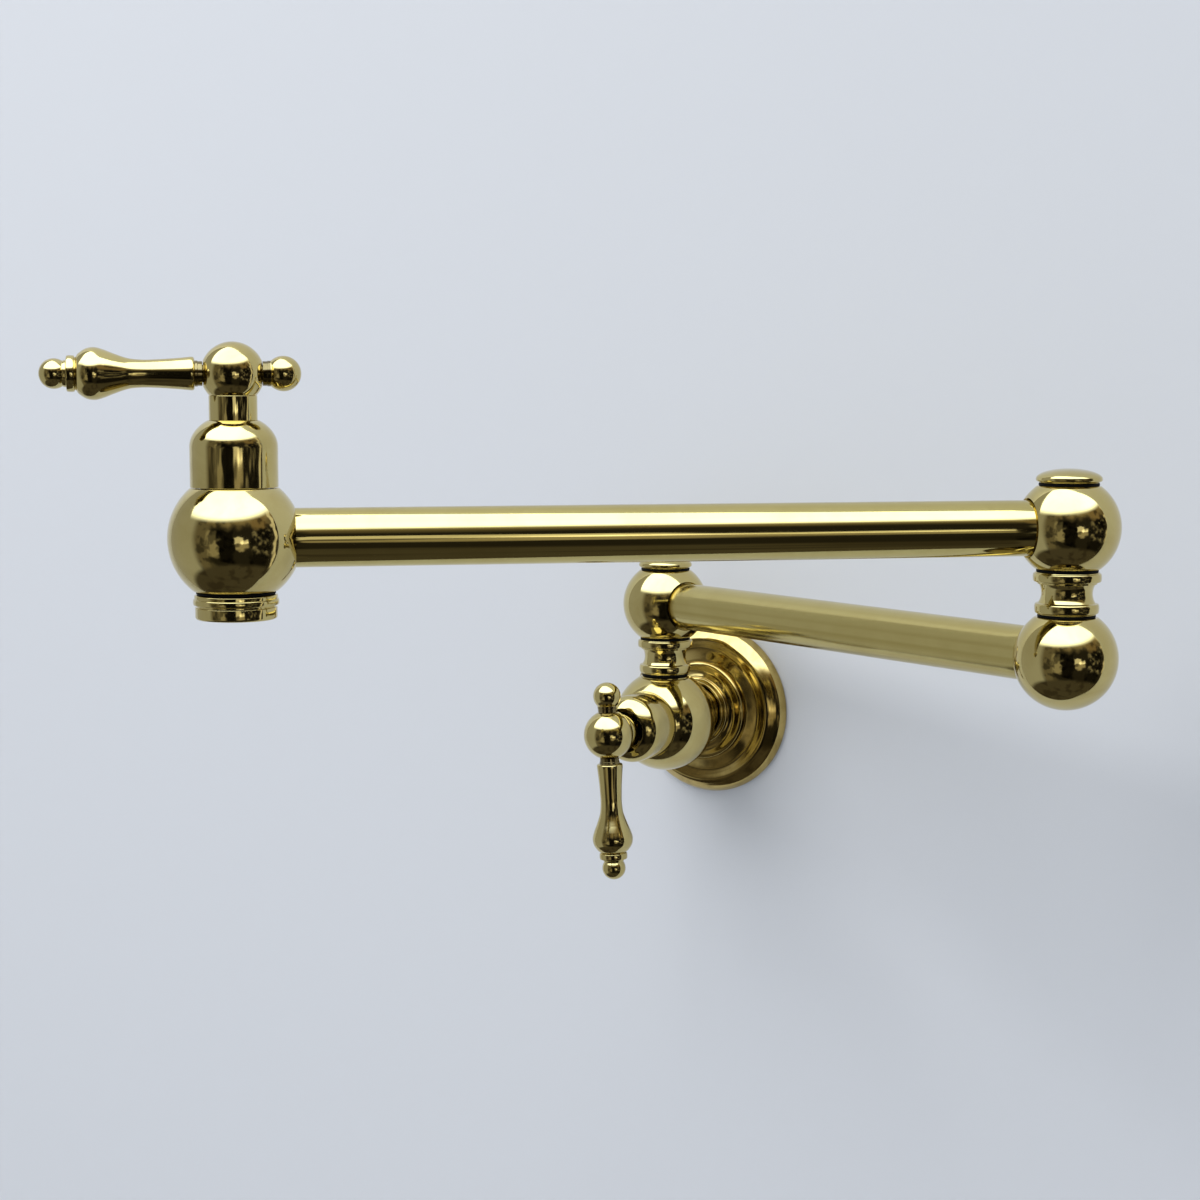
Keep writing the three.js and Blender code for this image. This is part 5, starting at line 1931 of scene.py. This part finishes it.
@dataclass
class Studio:
    """The pale wall, floor, soft light and camera, in metres.

    Attributes:
        wall_colour: Colour of the wall.
        floor_colour: Colour of the floor.
        wall_sides: Left and right edge of the wall.
        wall_top: Height of its top.
        wall_gap: Gap between the flange's back and the wall.
        floor: Height of the floor.
        floor_front: Edge of the floor in front of the wall.
        floor_back: Edge of the floor behind the wall.
        floor_right: Right edge of the floor.
        eye: Where the camera stands.
        yaw: How far it is turned to the left, in radians.
        pitch: How far it is tilted up, in radians.
        lens: Its focal length in millimetres.
        sensor: Width of its sensor in millimetres.
        nearest: Nearest distance that it shows.
        lamp_size: Width and height of the lamp.
        lamp_power: Power of the lamp in watts.
        lamp_at: Where the lamp hangs.
        lamp_aim: The point that it shines at.
    """

    wall_colour: Colour = (0.655, 0.675, 0.715)
    floor_colour: Colour = (0.66, 0.68, 0.70)
    wall_sides: tuple[float, float] = (-3.0, 0.62)
    wall_top: float = 1.8
    wall_gap: float = 0.0004
    floor: float = -1.2
    floor_front: float = -4.0
    floor_back: float = 1.0
    floor_right: float = 3.0
    eye: Vector = field(default_factory=lambda: Vector((0.4803, -0.90675, 0.15406)))
    yaw: float = math.radians(30.79)
    pitch: float = math.radians(-5.81)
    lens: float = 67.0
    sensor: float = 36.0
    nearest: float = 0.05
    lamp_size: tuple[float, float] = (2.2, 1.6)
    lamp_power: float = 52.0
    lamp_at: Point3 = (-0.7, -1.9, 1.9)
    lamp_aim: Point3 = (0.05, 0.0, 0.0)

    def build(self) -> None:
        """Builds the set and the camera."""
        self.camera()
        Surroundings().build()
        self.backdrop()
        self.lamp()
        bpy.context.scene.view_settings.view_transform = "Standard"

    def camera(self) -> None:
        """Stands the camera where the photograph was taken from."""
        data = bpy.data.cameras.new("camera")
        data.lens = self.lens
        data.sensor_width = self.sensor
        data.clip_start = self.nearest
        obj = in_scene("camera", data)
        level = math.cos(self.pitch)
        look = Vector((-math.sin(self.yaw) * level, math.cos(self.yaw) * level, math.sin(self.pitch)))
        obj.location = self.eye
        obj.rotation_mode = "QUATERNION"
        obj.rotation_quaternion = look.to_track_quat("-Z", "Y")
        bpy.context.scene.camera = obj

    def backdrop(self) -> None:
        """Puts up the wall, which shows only from its front, and lays the floor."""
        left, right = self.wall_sides
        wall = self.sheet("wall_backdrop", self.wall_colour, (left, self.floor), (right, self.wall_top))
        wall.data.transform(Matrix.Rotation(math.radians(90), 4, "X"))
        wall.data.transform(Matrix.Translation((0, self.wall_gap, 0)))
        low, high = (left, self.floor_front), (self.floor_right, self.floor_back)
        floor = self.sheet("floor_backdrop", self.floor_colour, low, high)
        floor.data.transform(Matrix.Translation((0, 0, self.floor)))
        floor.visible_glossy = False

    @staticmethod
    def sheet(name: str, colour: Colour, low: Point, high: Point) -> bpy.types.Object:
        """Makes a plain sheet that is clear from behind.

        Args:
            name: The sheet's name.
            colour: Its colour.
            low: Its lower left corner in metres.
            high: Its upper right corner.

        Returns:
            The sheet, flat and facing up.
        """
        bm = bmesh.new()
        corners = ((low[0], low[1]), (high[0], low[1]), (high[0], high[1]), (low[0], high[1]))
        bm.faces.new([bm.verts.new((x, y, 0)) for x, y in corners])
        obj = in_scene(name, to_mesh(bm, name))
        material, graph, shader = new_material(name)
        graph.fill(shader, {"Base Color": opaque(colour), "Roughness": 0.75, "Specular IOR Level": 0.2})
        behind = graph.node("ShaderNodeNewGeometry").outputs["Backfacing"]
        clear = graph.node("ShaderNodeBsdfTransparent").outputs[0]
        mix = graph.node("ShaderNodeMixShader", {0: behind, 1: shader.outputs[0], 2: clear})
        graph.tree.links.new(mix.outputs[0], graph.tree.nodes["Material Output"].inputs["Surface"])
        obj.data.materials.append(material)
        return obj

    def lamp(self) -> None:
        """Hangs one large soft lamp over the front of the tap."""
        data = bpy.data.lights.new("soft_lamp", "AREA")
        data.shape = "RECTANGLE"
        data.size, data.size_y = self.lamp_size
        data.energy = self.lamp_power
        obj = in_scene("soft_lamp", data)
        obj.location = self.lamp_at
        obj.rotation_mode = "QUATERNION"
        obj.rotation_quaternion = (Vector(self.lamp_aim) - obj.location).to_track_quat("-Z", "Y")
        obj.visible_glossy = False


# ---- the whole tap ---------------------------------------------------------------------------


@dataclass
class PotFiller:
    """The whole tap, placed from the frame's joints.

    Attributes:
        frame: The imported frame.
        wall_lever_tilt: How far the wall valve's lever hangs off the vertical, in degrees.
        outlet_hub_at: Distance of the outlet valve's hub from the valve's centre.
        wall_hub_at: The same for the wall valve.
        outlet_mouth: Radius and height of the hole in the outlet bonnet's dome.
        wall_mouth: The same for the wall bonnet.
        tube_gaps: Distance of a tube from the centre of a joint's ball, and of the outlet's.
    """

    frame: dict
    wall_lever_tilt: float = 2.75
    outlet_hub_at: float = 54.7
    wall_hub_at: float = 49.6
    outlet_mouth: Point = (8.5, 39.3)
    wall_mouth: Point = (9.6, 37.0)
    tube_gaps: tuple[float, float] = (12.5, 13.3)

    def __post_init__(self) -> None:
        """Reads the joints' places."""
        joints = {joint["name"]: joint for joint in self.frame["record"]["behaviour"]["joints"]}
        self.valve = Vector(joints["wall_handle_turn"]["pos_m"])
        self.wall_ball = Vector(joints["first_arm_swing"]["pos_m"])
        self.upper_elbow = Vector(joints["second_arm_swing"]["pos_m"])
        self.outlet = Vector(joints["outlet_handle_turn"]["pos_m"])
        self.lower_elbow = Vector((self.upper_elbow.x, self.upper_elbow.y, self.wall_ball.z))
        self.first_run = self.lower_elbow - self.wall_ball
        self.second_run = self.outlet - self.upper_elbow

    def headings(self) -> tuple[float, float]:
        """Gives the headings of the two arms about Z, in radians."""
        first, second = self.first_run, self.second_run
        return math.atan2(first.y, first.x), math.atan2(second.y, second.x)

    def build(self, bench: Bench) -> None:
        """Builds every sub-assembly, from the wall to the outlet.

        Args:
            bench: Where pieces are finished.
        """
        tilt = math.radians(self.wall_lever_tilt)
        WallFitting(Place(Vector(), OUT, RIGHT)).build(bench)
        wall_lever = Vector((math.sin(tilt), 0, -math.cos(tilt)))
        ValveTop(
            "wall",
            Place(self.valve, OUT, wall_lever),
            Body.WALL,
            Body.WALL_HANDLE,
            self.wall_mouth,
            self.wall_hub_at,
        ).build(bench)
        at_wall = Place(self.wall_ball, UP, self.first_run)
        SwivelJoint("wall_swivel", at_wall, Body.WALL).build(bench)
        JointBall("wall_swivel_ball", at_wall, Body.FIRST_ARM, True).build(bench)
        near, far = self.tube_gaps
        first_tube = ArmTube("first_arm_tube", self.wall_ball, self.lower_elbow, near, near, Body.FIRST_ARM)
        first_tube.build(bench, bench.finishes.materials[Finish.BRUSHED])
        below = Place(self.lower_elbow, UP, -self.first_run)
        JointBall("elbow_lower_ball", below, Body.FIRST_ARM, False).build(bench)
        above = Place(self.upper_elbow, UP, self.second_run)
        SwivelJoint("elbow", above, Body.FIRST_ARM).build(bench)
        JointBall("elbow_upper_ball", above, Body.SECOND_ARM, True).build(bench)
        second_tube = ArmTube("second_arm_tube", self.upper_elbow, self.outlet, near, far, Body.SECOND_ARM)
        second_tube.build(bench, bench.finishes.second_tube)
        OutletBody(Place(self.outlet, UP, -self.second_run)).build(bench)
        at_outlet = Place(self.outlet, UP, self.second_run)
        Aerator(at_outlet).build(bench)
        ValveTop(
            "outlet",
            at_outlet,
            Body.SECOND_ARM,
            Body.OUTLET_HANDLE,
            self.outlet_mouth,
            self.outlet_hub_at,
        ).build(bench)
        bench.dress_inner()


def main() -> None:
    """Builds the tap and its studio."""
    logging.basicConfig(level=logging.INFO, format="%(message)s")
    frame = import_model()
    Studio().build()
    tap = PotFiller(frame)
    tap.build(Bench(frame, Finishes(*tap.headings())))


if __name__ == "__main__":
    main()
